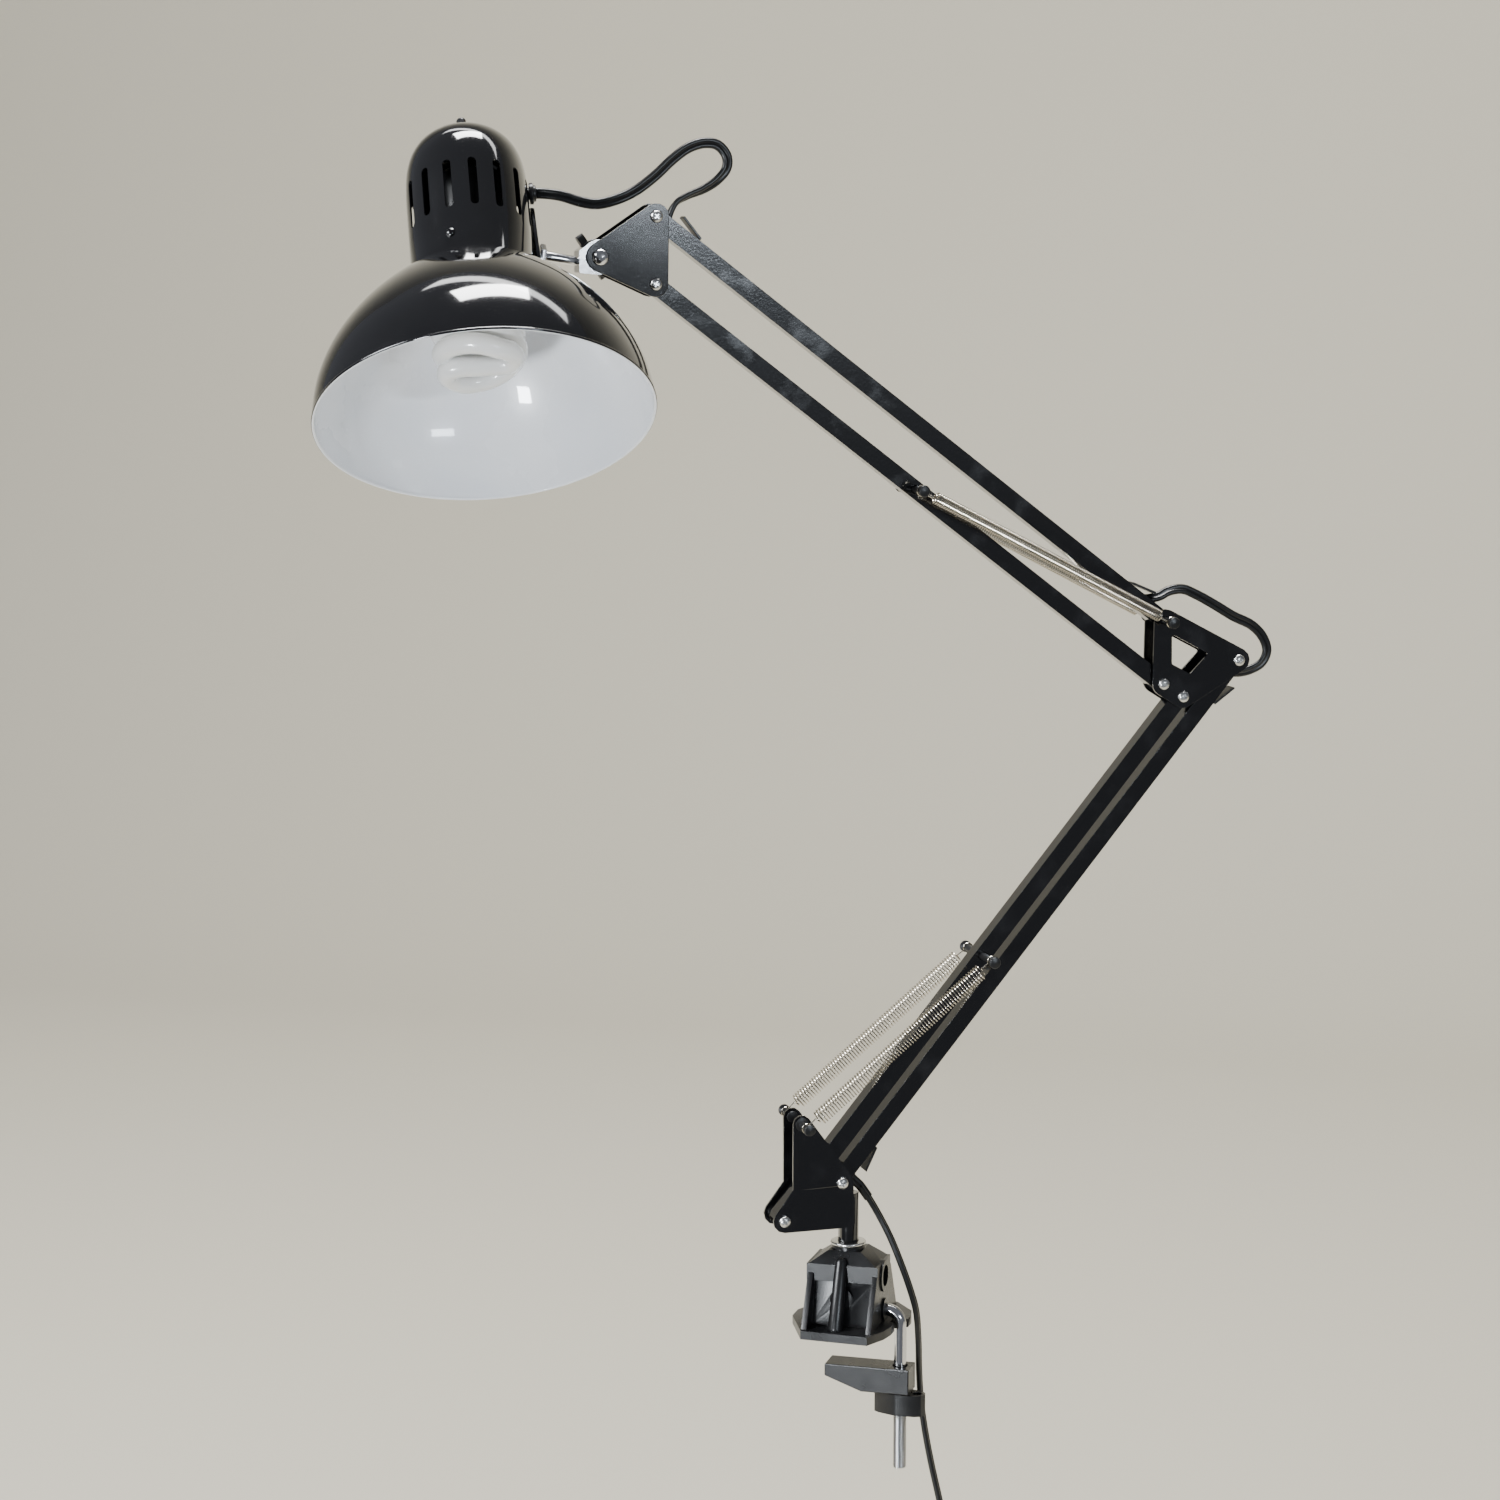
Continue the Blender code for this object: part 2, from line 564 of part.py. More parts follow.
def build_arms():
    lower_front = arm_empty("lower_front_pivot", BASE_FRONT, LOWER_LIFT)
    lower_rear = arm_empty("lower_rear_pivot", BASE_REAR, LOWER_LIFT)
    upper_low = arm_empty("upper_low_pivot", ELBOW_LOW, UPPER_LIFT)
    upper_top = arm_empty("upper_top_pivot", ELBOW_HIGH, UPPER_LIFT)
    arm_tube("lower_front_tube", lower_front, peg=True)
    arm_tube("lower_rear_tube", lower_rear, cord_ends=True)
    arm_tube("upper_bottom_tube", upper_low, peg=True)
    arm_tube("upper_top_tube", upper_top, cord_ends=True)
    middle = (ARM_LENGTH / 2, 0, 0)
    spring_peg("lower_spring_peg", lower_front, middle, LOWER_SPRING[1] + 0.0062)
    spring_peg("upper_spring_peg", upper_low, middle, UPPER_SPRING[1] + 0.0048)
    for name, frame, far_end in (("hood_base", lower_rear, False), ("hood_elbow_low", lower_rear, True),
                                 ("hood_elbow_high", upper_top, False),
                                 ("hood_head", upper_top, True)):
        cord_hood(name, frame, far_end)
    for label, side in (("near", 1), ("far", -1)):
        spring(f"lower_spring_{label}", BASE_PEG, LOWER_PEG, LOWER_SPRING, side)
        spring(f"upper_spring_{label}", ELBOW_HIGH, UPPER_PEG, UPPER_SPRING, side)
    for name, frame in (("lower_cord", lower_rear), ("upper_cord", upper_top)):
        wire(name, [(INNER_START, 0, 0), (ARM_LENGTH - INNER_START, 0, 0)], CORD_R, "cord_black",
             CORD_SIDES, frame)


def build_elbow():
    frame = arm_empty("elbow_frame", (0.0, 0.0))
    circles = [(*ELBOW_LOW, LOBE), (*ELBOW_FRONT, LOBE), (*ELBOW_REAR, LOBE), (*ELBOW_HIGH, LOBE)]
    window = [(0.1949, 0.3842, 0.0012), (0.2050, 0.3788, 0.0012), (0.2146, 0.3886, 0.0012),
              (0.1947, 0.3990, 0.0012)]
    rings = [outline(circles), outline(window, 3)]
    rings += [circle_points(*at, BOLT_HOLE) for at in (ELBOW_LOW, ELBOW_FRONT, ELBOW_REAR)]
    rings.append(circle_points(*ELBOW_HIGH, PEG_HOLE))
    middle = LINK_HALF - PLATE / 2
    upright_plate("elbow_near_plate", rings, PLATE / 2, frame, -middle, "black_satin")
    upright_plate("elbow_far_plate", rings, PLATE / 2, frame, middle, "black_satin")
    for name, at in (("elbow_bolt_low", ELBOW_LOW), ("elbow_bolt_front", ELBOW_FRONT),
                     ("elbow_bolt_rear", ELBOW_REAR)):
        cross_bolt(name, frame, (at[0], 0, at[1]), LINK_HALF)
    spring_peg("elbow_spring_peg", frame, (ELBOW_HIGH[0], 0, ELBOW_HIGH[1]),
               UPPER_SPRING[1] + 0.0048, collars=LINK_HALF - PLATE)


# ---- head bracket, clevis and shade ---------------------------------------------------------


def build_head():
    frame = arm_empty("head_frame", (0.0, 0.0))
    circles = [(*TILT_PIVOT, 0.0078), (*HEAD_LOW, 0.0072), (*HEAD_HIGH, 0.0072)]
    rings = [outline(circles, 5)]
    rings += [circle_points(*at, BOLT_HOLE) for at in (HEAD_LOW, HEAD_HIGH)]
    rings.append(circle_points(*TILT_PIVOT, TILT_BOLT_R + 0.0004))
    middle = LINK_HALF - PLATE / 2
    upright_plate("head_near_plate", rings, PLATE / 2, frame, -middle, "black_gloss")
    upright_plate("head_far_plate", rings, PLATE / 2, frame, middle, "black_gloss")
    for name, at in (("head_bolt_low", HEAD_LOW), ("head_bolt_high", HEAD_HIGH)):
        cross_bolt(name, frame, (at[0], 0, at[1]), LINK_HALF)
    dome = [(0.0, LINK_HALF + 0.0037), (0.0020, LINK_HALF + 0.0034), (0.0037, LINK_HALF + 0.0024),
            (0.0046, LINK_HALF + 0.0011), (0.0047, LINK_HALF + GAP), (TILT_BOLT_R, LINK_HALF + GAP)]
    end = [(TILT_BOLT_R, -0.0190), (0.0022, -0.0197), (0.0, -0.0197)]
    pivot = (TILT_PIVOT[0], 0, TILT_PIVOT[1])
    turned("tilt_bolt", dome + end, frame, pivot, (math.pi / 2, 0, 0), "chrome", 16)
    build_tilt_wing_nut(frame, pivot)


def build_tilt_wing_nut(frame, pivot):
    """Two-winged plastic nut on the far end of the tilt bolt."""
    low = LINK_HALF + 0.0006
    wing = [(-0.0115, 0.0132, 0.0024), (-0.0060, low + 0.0012, 0.0008),
            (0.0060, low + 0.0012, 0.0008), (0.0115, 0.0132, 0.0024)]
    knob_frame = empty("tilt_knob_frame", pivot, (0, math.radians(-122), 0))
    knob_frame.parent = frame
    knob = as_mesh(put("tilt_wing_nut", flat_curve("tilt_wing_nut", [outline(wing, 6)], 0.0021),
                       knob_frame, kind="black_plastic"))
    hub = rod_mesh("knob_hub", 0.0052, low, 0.0165, 16)
    cut(knob, put("knob_hub", hub, knob_frame, turn=(-math.pi / 2, 0, 0), group=cutters), "UNION")
    bore = rod_mesh("knob_bore", TILT_BOLT_R + GAP, 0.0, 0.03, 16)
    cut(knob, put("knob_bore", bore, knob_frame, turn=(-math.pi / 2, 0, 0), group=cutters))


def build_clevis():
    """Bright steel fork on the tilt bolt; its end plate carries the swivel rod."""
    frame = arm_empty("clevis_frame", TILT_PIVOT)
    reach = ROD_START[0] - TILT_PIVOT[0]
    mid = ROD_START[1] - TILT_PIVOT[1]
    wide = LINK_HALF - PLATE - GAP
    circles = [(reach + 0.0008, mid + 0.0054, 0.0008), (reach + 0.0008, mid - 0.0054, 0.0008),
               (-0.0002, -0.0004, 0.0092), (0.0, 0.0006, 0.0092)]
    clevis = as_mesh(upright_plate("tilt_clevis", [outline(circles, 5)], wide, frame, 0.0, "chrome"))
    inside = box_mesh("clevis_inside", (reach + 0.0026, -wide + 0.0020, -0.02),
                      (0.02, wide - 0.0020, 0.02))
    cut(clevis, put("clevis_inside", inside, frame, group=cutters))
    pin = rod_mesh("clevis_pin_hole", TILT_BOLT_R + GAP, -0.02, 0.02, 16)
    cut(clevis, put("clevis_pin_hole", pin, frame, turn=(math.pi / 2, 0, 0), group=cutters))
    rod_hole = rod_mesh("clevis_rod_hole", 0.0024, -0.004, 0.004, 16)
    cut(clevis, put("clevis_rod_hole", rod_hole, frame, (reach, 0, mid),
                    (0, math.pi / 2 - ROD_LIFT, 0), group=cutters))


def build_rod():
    """Swivel rod: riveted through the clevis, shouldered, and nutted to the shade's strap."""
    frame = arm_empty("rod_frame", ROD_START, ROD_LIFT)
    turn = (0, math.pi / 2, 0)
    profile = [(0.0, ROD_LENGTH), (ROD_R, ROD_LENGTH), (ROD_R, 0.0012), (0.0021, 0.0012),
               (0.0021, -0.0034), (0.0034, -0.0034), (0.0034, -0.0044), (0.0, -0.0046)]
    turned("swivel_rod", profile, frame, (0, 0, 0), turn, "chrome", 16)
    nut = [(ROD_R + GAP, ROD_LENGTH - 0.0004), (0.0062, ROD_LENGTH - 0.0004),
           (0.0062, ROD_LENGTH - 0.0040), (ROD_R + GAP, ROD_LENGTH - 0.0040),
           (ROD_R + GAP, ROD_LENGTH - 0.0004)]
    turned("rod_nut", nut, frame, (0, 0, 0), turn, "chrome", 12)


def cap_radius(height):
    """Cap: straight below, rounding over to its top like a flattened dome."""
    share = max(0.0, (height - CAP_STRAIGHT) / (CAP_TOP - CAP_STRAIGHT))
    return NECK_R * math.sqrt(max(0.0, 1.0 - share ** CAP_SQUARENESS))


def bowl_radius(height):
    """Bowl: flares from the neck to the mouth along a bent sine."""
    share = (NECK_H - height) / (NECK_H - MOUTH_H)
    return NECK_R + (MOUTH_R - NECK_R) * math.sin(math.pi / 2 * share ** BOWL_BULGE)


def build_shade(frame):
    steps = 7
    profile = [(0.0042, CAP_TOP - 0.0001)]
    for k in range(1, steps + 1):
        height = CAP_STRAIGHT + (CAP_TOP - CAP_STRAIGHT) * math.cos(math.pi / 2 * k / steps)
        profile.append((cap_radius(height), height))
    profile.append((NECK_R, NECK_H + GAP))
    cap = turned("shade_cap", profile, frame, kind="black_gloss", sides=30, wall=SHEET)
    for k in range(SLOT_COUNT - 1):
        angle = SLOT_FIRST + 2 * math.pi * (k if k < 4 else k + 1) / SLOT_COUNT
        mesh = box_mesh(f"vent_{k}", (NECK_R - 0.006, -SLOT_WIDTH / 2, SLOT_H[0]),
                        (NECK_R + 0.006, SLOT_WIDTH / 2, SLOT_H[1]))
        cut(cap, put(f"vent_{k}", mesh, frame, turn=(0, 0, angle), group=cutters))
    hole = rod_mesh("relief_hole", 0.0037, 0.020, 0.050, 12)
    across = (0, math.pi / 2, RELIEF_TURN)
    cut(cap, put("relief_hole", hole, frame, (0, 0, RELIEF_H), across, group=cutters))
    hole = rod_mesh("screw_hole", 0.0015, 0.020, 0.050, 8)
    place = (0, 0, CAP_SCREW_H)
    across = (0, math.pi / 2, CAP_SCREW_TURN)
    cut(cap, put("screw_hole", hole, frame, place, across, group=cutters))
    screw = [(0.0, NECK_R + 0.0016), (0.0016, NECK_R + 0.0013), (0.0024, NECK_R + GAP),
             (0.0011, NECK_R + GAP), (0.0011, NECK_R - 0.0040), (0.0, NECK_R - 0.0040)]
    turned("cap_screw", screw, frame, place, across, "chrome", 10)
    rows = 9
    profile = [(0.0262, NECK_H), (NECK_R, NECK_H)]
    for k in range(1, rows + 1):
        height = NECK_H + (MOUTH_H - NECK_H) * k / rows
        profile.append((bowl_radius(height), height))
    turned("shade_bowl", profile, frame, kind="black_gloss", sides=36, wall=SHEET)


def build_shade_fittings(frame):
    """Strap, strain relief, lamp holder and push button."""
    ring = outline([(-0.0110, -0.0065, 0.0020), (-0.0110, 0.0065, 0.0020), (0.0240, 0.0025, 0.0020),
                    (0.0240, -0.0025, 0.0020)][::-1], 3)
    put("shade_strap", flat_curve("shade_strap", [ring], 0.0011), frame, (NECK_R + 0.0016, 0, 0),
        (0, -math.pi / 2, 0), "black_satin")
    relief = [(CORD_R + GAP, NECK_R + 0.0042), (0.0040, NECK_R + 0.0042), (0.0060, NECK_R + 0.0026),
              (0.0060, NECK_R + 0.0004), (0.0033, NECK_R + 0.0004), (0.0033, NECK_R - 0.0050),
              (CORD_R + GAP, NECK_R - 0.0050), (CORD_R + GAP, NECK_R + 0.0042)]
    across = (0, math.pi / 2, RELIEF_TURN)
    turned("strain_relief", relief, frame, (0, 0, RELIEF_H), across, "black_plastic", 14)
    holder = [(0.0, 0.0440), (0.0165, 0.0430), (0.0185, 0.0400), (0.0185, -0.0050),
              (0.0140, -0.0050), (0.0140, 0.0230), (0.0, 0.0230)]
    turned("lamp_holder", holder, frame, kind="black_plastic", sides=24)
    ring = [(0.0191, -0.0066), (0.0300, -0.0066), (0.0300, -0.0126), (0.0285, -0.0126),
            (0.0285, -0.0084), (0.0191, -0.0084), (0.0191, -0.0066)]
    turned("holder_bracket", [(r - 0.0004, h) for r, h in ring], frame, kind="spring_steel", sides=24)
    button = [(0.0, 0.0830), (0.0022, 0.0828), (0.0027, 0.0820), (0.0027, 0.0484), (0.0, 0.0484)]
    turned("switch_button", button, frame, kind="black_plastic", sides=12)


def build_bulb(frame):
    """Compact fluorescent bulb: screw base in the holder, ballast and a double spiral tube."""
    base = [(0.0, 0.0170), (0.0045, 0.0165), (0.0128, 0.0135), (0.0133, 0.0120), (0.0133, -0.0080),
            (0.0150, -0.0105), (0.0200, -0.0135), (0.0222, -0.0160), (0.0222, -0.0320),
            (0.0212, -0.0345), (0.0, -0.0345)]
    turned("bulb_base", base, frame, kind="bulb_white", sides=24)
    points = [Vector((SPIRAL_R, 0, SPIRAL_TOP + 0.0015))]
    legs = 20
    for k in range(legs + 1):
        angle = 2 * math.pi * SPIRAL_TURNS * k / legs
        height = SPIRAL_TOP + (SPIRAL_TIP - SPIRAL_TOP) * k / legs
        points.append(Vector((SPIRAL_R * math.cos(angle), SPIRAL_R * math.sin(angle), height)))
    across = [points[-1] * (1 - 2 * k / 5) for k in range(1, 5)]
    for point in across:
        point.z = SPIRAL_TIP
    other = [Vector((-p.x, -p.y, p.z)) for p in reversed(points)]
    wire("bulb_spiral", points[1:] + across + other[:-1], SPIRAL_TUBE, "bulb_white", 2, frame)


# ---- cords ----------------------------------------------------------------------------------
HEAD_LOOP = [(-0.1674, 0.6526, -0.0050), (-0.1550, 0.6490, -0.0030), (-0.1468, 0.6479, -0.0015),
             (-0.1367, 0.6501, 0.0), (-0.1254, 0.6550, 0.0), (-0.1140, 0.6632, 0.0),
             (-0.1037, 0.6725, 0.0), (-0.0951, 0.6785, 0.0), (-0.0860, 0.6813, 0.0),
             (-0.0782, 0.6802, 0.0), (-0.0730, 0.6742, 0.0), (-0.0730, 0.6677, 0.0),
             (-0.0783, 0.6611, 0.0), (-0.0860, 0.6562, 0.0), (-0.0952, 0.6525, 0.0),
             (-0.1021, 0.6485, 0.0)]
ELBOW_LOOP = [(0.1883, 0.4226), (0.1939, 0.4253), (0.2027, 0.4263), (0.2122, 0.4225),
              (0.2236, 0.4163), (0.2352, 0.4095), (0.2470, 0.4038), (0.2538, 0.3971),
              (0.2570, 0.3887), (0.2542, 0.3817), (0.2476, 0.3778), (0.2410, 0.3762)]
EXIT = (0.0015, 0.0895)            # where the cord leaves the lower tube
HANGING = [(0.0062, 0.0036, 0.0830), (0.0105, 0.0058, 0.0760), (0.0165, 0.0078, 0.0650),
           (0.0232, 0.0085, 0.0520), (0.0302, 0.0090, 0.0350), (0.0352, 0.0104, 0.0200),
           (0.0380, 0.0122, 0.0080), (0.0388, 0.0150, -0.0100), (0.0388, 0.0175, -0.0300),
           (0.0399, 0.0180, -0.0480), (0.0425, 0.0180, -0.0660), (0.0464, 0.0180, -0.0858),
           (0.0507, 0.0180, -0.1043), (0.0537, 0.0180, -0.1180), (0.0545, 0.0180, -0.1270)]
HANK_TOP = -0.1273
HANK_LENGTH = 0.1320
HANK_X = 0.0545
HANK_Y = 0.0180
HANK_HALF = (0.0240, 0.0125)
HANK_DIP = 0.0105                  # how much narrower each side of the hank is at its tie
PLUG_TOP = -0.2695


def tube_point(pivot, lift, along, out):
    """A point beside a cord tube: along it from the pivot, and out past its outer side."""
    return (pivot[0] + along * math.cos(lift) + out * math.sin(lift),
            pivot[1] + along * math.sin(lift) - out * math.cos(lift))


def build_cords():
    relief = [shade_point(NECK_R + out, RELIEF_H, RELIEF_TURN) for out in (-0.0048, -0.0002, 0.0045)]
    shade_end = relief + [in_plane(*at) for at in HEAD_LOOP]
    entry = [(0.0078, 0.0042), (0.0105, 0.0012), (0.0175, 0.0), (INNER_START - GAP, 0.0)]
    head = [in_plane(*tube_point(HEAD_HIGH, UPPER_LIFT, -a, out)) for a, out in entry]
    wire("cord_head_loop", smooth_route(shade_end + head, 0.006), CORD_R, "cord_black", CORD_SIDES)
    leave = [(INNER_START - GAP, 0.0), (0.0220, 0.0008), (0.0150, 0.0042)]
    start = [in_plane(*tube_point(ELBOW_HIGH, UPPER_LIFT, a, out)) for a, out in leave]
    entry = [(0.0065, 0.0052), (0.0100, 0.0015), (0.0170, 0.0), (INNER_START - GAP, 0.0)]
    end = [in_plane(*tube_point(ELBOW_REAR, LOWER_LIFT, -a, out)) for a, out in entry]
    route = start + [in_plane(*at) for at in ELBOW_LOOP] + end
    wire("cord_elbow_loop", smooth_route(route, 0.006), CORD_R, "cord_black", CORD_SIDES)
    leave = [(INNER_START - GAP, 0.0), (0.0200, 0.0002), (0.0120, 0.0022)]
    tail = [in_plane(*tube_point(BASE_REAR, LOWER_LIFT, a, out)) for a, out in leave]
    tail += [in_plane(*EXIT)]
    first = Vector(HANGING[0])
    back = (first - Vector(HANGING[1])).normalized()
    tail += [first + back * 0.003, first + back * GAP]
    wire("cord_tail", smooth_route(tail, 0.005), CORD_R, "cord_black", CORD_SIDES)
    hanging = [Vector(at) for at in HANGING]
    wire("cord_hanging", smooth_route(hanging, 0.010), CORD_R, "cord_black", CORD_SIDES)
    build_hank_and_plug()


def build_hank_and_plug():
    """Spare cord folded into a tied hank below, with the plug hanging under it."""
    half_x, half_y = HANK_HALF
    straight = HANK_LENGTH / 2 - half_x
    ring = []
    for side in (1, -1):
        for k in range(9):
            angle = math.pi * k / 8
            ring.append((side * half_x * math.cos(angle), side * (straight + half_x * math.sin(angle))))
        for k in range(1, 8):
            height = side * straight * (1 - k / 4)
            dip = HANK_DIP * (1 + math.cos(math.pi * height / straight)) / 2
            ring.append((side * (dip - half_x), height))
    put("cord_hank", flat_curve("cord_hank", [ring], half_y), None,
        (HANK_X, HANK_Y, HANK_TOP - HANK_LENGTH / 2), (math.pi / 2, 0, 0), "cord_black")
    waist = half_x - HANK_DIP + 0.0010
    tie_low = HANK_TOP - HANK_LENGTH / 2 - 0.004
    outer = box_mesh("hank_tie", (HANK_X - waist - 0.0014, HANK_Y - half_y - 0.0014, tie_low),
                     (HANK_X + waist + 0.0014, HANK_Y + half_y + 0.0014, tie_low + 0.008))
    tie = put("hank_tie", outer, kind="black_plastic")
    inner = box_mesh("tie_inside", (HANK_X - waist, HANK_Y - half_y - GAP, tie_low - 0.01),
                     (HANK_X + waist, HANK_Y + half_y + GAP, tie_low + 0.02))
    cut(tie, put("tie_inside", inner, group=cutters))
    lead_top = HANK_TOP - HANK_LENGTH - GAP
    wire("cord_plug_lead", [(HANK_X, HANK_Y, lead_top), (HANK_X, HANK_Y, PLUG_TOP + GAP)], CORD_R,
         "cord_black", CORD_SIDES)
    grip = box_mesh("plug", (HANK_X - 0.0125, HANK_Y - 0.0085, PLUG_TOP - 0.026),
                    (HANK_X + 0.0125, HANK_Y + 0.0085, PLUG_TOP))
    plug = put("plug", grip, kind="black_plastic")
    for k, x in enumerate((-0.00635, 0.00635)):
        blade = box_mesh(f"plug_blade_{k}", (HANK_X + x - 0.00075, HANK_Y - 0.0032, PLUG_TOP - 0.043),
                         (HANK_X + x + 0.00075, HANK_Y + 0.0032, PLUG_TOP - 0.025))
        cut(plug, put(f"plug_blade_{k}", blade, group=cutters), "UNION")


def main():
    build_clamp_body()
    build_clamp_bolt()
    build_lower_jaw()
    build_clamp_wing_nut()
    build_yoke()
    build_arms()
    build_elbow()
    build_head()
    build_clevis()
    build_rod()
    shade = empty("shade_axis", in_plane(*SHADE_AT), (SHADE_SWIVEL, SHADE_LEAN, ARM_YAW))
    build_shade(shade)
    build_shade_fittings(shade)
    build_bulb(shade)
    build_cords()
    bpy.context.view_layer.update()


main()
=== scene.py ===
import json
import math

import bmesh
import bpy
import numpy as np
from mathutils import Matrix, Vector


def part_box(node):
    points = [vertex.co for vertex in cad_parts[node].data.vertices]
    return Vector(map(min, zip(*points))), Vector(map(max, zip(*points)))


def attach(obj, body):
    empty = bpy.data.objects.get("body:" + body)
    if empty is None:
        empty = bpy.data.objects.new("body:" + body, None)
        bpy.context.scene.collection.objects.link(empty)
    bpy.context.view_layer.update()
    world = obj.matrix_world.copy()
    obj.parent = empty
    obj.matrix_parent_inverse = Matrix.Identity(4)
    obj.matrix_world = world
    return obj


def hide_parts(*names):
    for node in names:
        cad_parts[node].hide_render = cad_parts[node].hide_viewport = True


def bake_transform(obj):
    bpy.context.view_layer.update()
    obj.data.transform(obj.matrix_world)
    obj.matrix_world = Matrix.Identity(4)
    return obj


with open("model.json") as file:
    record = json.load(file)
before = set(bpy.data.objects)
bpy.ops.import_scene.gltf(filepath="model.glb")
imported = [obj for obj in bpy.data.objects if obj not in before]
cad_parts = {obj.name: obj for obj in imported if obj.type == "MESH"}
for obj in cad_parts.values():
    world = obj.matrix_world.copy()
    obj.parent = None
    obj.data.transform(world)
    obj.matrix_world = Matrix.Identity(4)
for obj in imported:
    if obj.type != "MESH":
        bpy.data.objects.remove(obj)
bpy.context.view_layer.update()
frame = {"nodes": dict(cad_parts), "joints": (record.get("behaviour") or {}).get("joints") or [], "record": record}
UP = np.array((0.0, 0.0, 1.0))
JOINTS = {joint["name"]: joint for joint in frame["joints"]}
BODIES = frame["record"]["behaviour"]["bodies"]
BODY_OF = {node: body for body, nodes in BODIES.items() for node in nodes}

# ---- places, all worked out from the frame's joints ------------------------------------------
ACROSS = np.array(JOINTS["lower_lift"]["axis"], float)       # out of the arm plane, near side
ALONG = np.array((-ACROSS[1], ACROSS[0], 0.0))               # level, in the arm plane
ROD_DIRECTION = np.array(JOINTS["shade_swivel"]["axis"], float)


def arm(s, z, out=0.0):
    """A place in the arm plane: s along it from the stem, z up, out to the near side."""
    return s * ALONG + z * UP + out * ACROSS


def pivot(joint):
    """(s, z) of a joint in the arm plane."""
    place = np.array(JOINTS[joint]["pos_m"], float)
    return float(place @ ALONG), float(place[2])


BASE_FRONT = pivot("lower_front_lift")
BASE_REAR = pivot("lower_lift")
ELBOW_REAR = pivot("elbow_level")
ELBOW_LOW = pivot("upper_bottom_lift")
ELBOW_HIGH = pivot("upper_lift")
HEAD_HIGH = pivot("head_level")
TILT = pivot("shade_tilt")
ROD_START = pivot("shade_swivel")
ELBOW_FRONT = tuple(ELBOW_REAR[k] - BASE_REAR[k] + BASE_FRONT[k] for k in (0, 1))
HEAD_LOW = tuple(HEAD_HIGH[k] - ELBOW_HIGH[k] + ELBOW_LOW[k] for k in (0, 1))
LOWER_LIFT = math.atan2(ELBOW_REAR[1] - BASE_REAR[1], ELBOW_REAR[0] - BASE_REAR[0])
UPPER_LIFT = math.atan2(HEAD_HIGH[1] - ELBOW_HIGH[1], HEAD_HIGH[0] - ELBOW_HIGH[0])
LOWER_PEG = ((BASE_FRONT[0] + ELBOW_FRONT[0]) / 2, (BASE_FRONT[1] + ELBOW_FRONT[1]) / 2)
UPPER_PEG = ((ELBOW_LOW[0] + HEAD_LOW[0]) / 2, (ELBOW_LOW[1] + HEAD_LOW[1]) / 2)
BASE_STUD = (-0.0315, 0.1248)
YOKE_HALF = 0.0105
LINK_HALF = 0.0079
PLATE = 0.0015
TUBE = 0.010

SHADE_AT = arm(-0.2174, 0.6244)
SHADE_UP = -np.array(JOINTS["switch_push"]["axis"], float)
SHADE_OUT = np.cross(SHADE_UP, ACROSS)
SHADE_OUT = SHADE_OUT / np.linalg.norm(SHADE_OUT)
SHADE_SIDE = np.cross(SHADE_UP, SHADE_OUT)
NECK_R = 0.0336
NECK_H = -0.0205
MOUTH_R = 0.0917
MOUTH_H = -0.1063
CAP_TOP = 0.0730
CAP_STRAIGHT = 0.0100
SHEET = 0.0008
RELIEF_H = 0.0315
RELIEF_TURN = math.radians(-14)


def on_shade(radius, height, turn):
    """A place on the shade by radius, height on its axis and turn about it from the rod's side."""
    return (SHADE_AT + radius * np.cos(turn) * SHADE_OUT + radius * np.sin(turn) * SHADE_SIDE
            + height * SHADE_UP)


# ---- camera -----------------------------------------------------------------------------------
camera_data = bpy.data.cameras.new("camera")
camera_data.lens = 88.0            # millimetres, as is the sensor
camera_data.sensor_width = 36.0
camera = bpy.data.objects.new("camera", camera_data)
camera.location = (0.5062, -2.0125, 0.6368)
camera.rotation_euler = (math.radians(90 - 8.157), 0.0, math.radians(15.7))
bpy.context.scene.collection.objects.link(camera)
bpy.context.scene.camera = camera


# ---- meshes -----------------------------------------------------------------------------------
def mesh_object(name, points, faces, smooth=math.radians(35)):
    """A mesh object at the origin from points and faces, smooth but for edges past the angle."""
    mesh = bpy.data.meshes.new(name)
    mesh.from_pydata(np.asarray(points, float).reshape(-1, 3).tolist(), [], faces)
    mesh.validate()
    mesh.update()
    if smooth:
        mesh.shade_smooth()
        mesh.set_sharp_from_angle(angle=smooth)
    obj = bpy.data.objects.new(name, mesh)
    bpy.context.scene.collection.objects.link(obj)
    return obj


def grid_faces(rows, columns, start=0, closed=False):
    """Quads between neighbouring rows of a grid; each row closes on itself, and closed joins
    the last row to the first."""
    i = np.arange(rows if closed else rows - 1)[:, None]
    j = np.arange(columns)[None, :]
    after = (i + 1) % rows
    beside = (j + 1) % columns
    quads = np.stack([i * columns + j, i * columns + beside, after * columns + beside,
                      after * columns + j], -1)
    return (quads.reshape(-1, 4) + start).tolist()


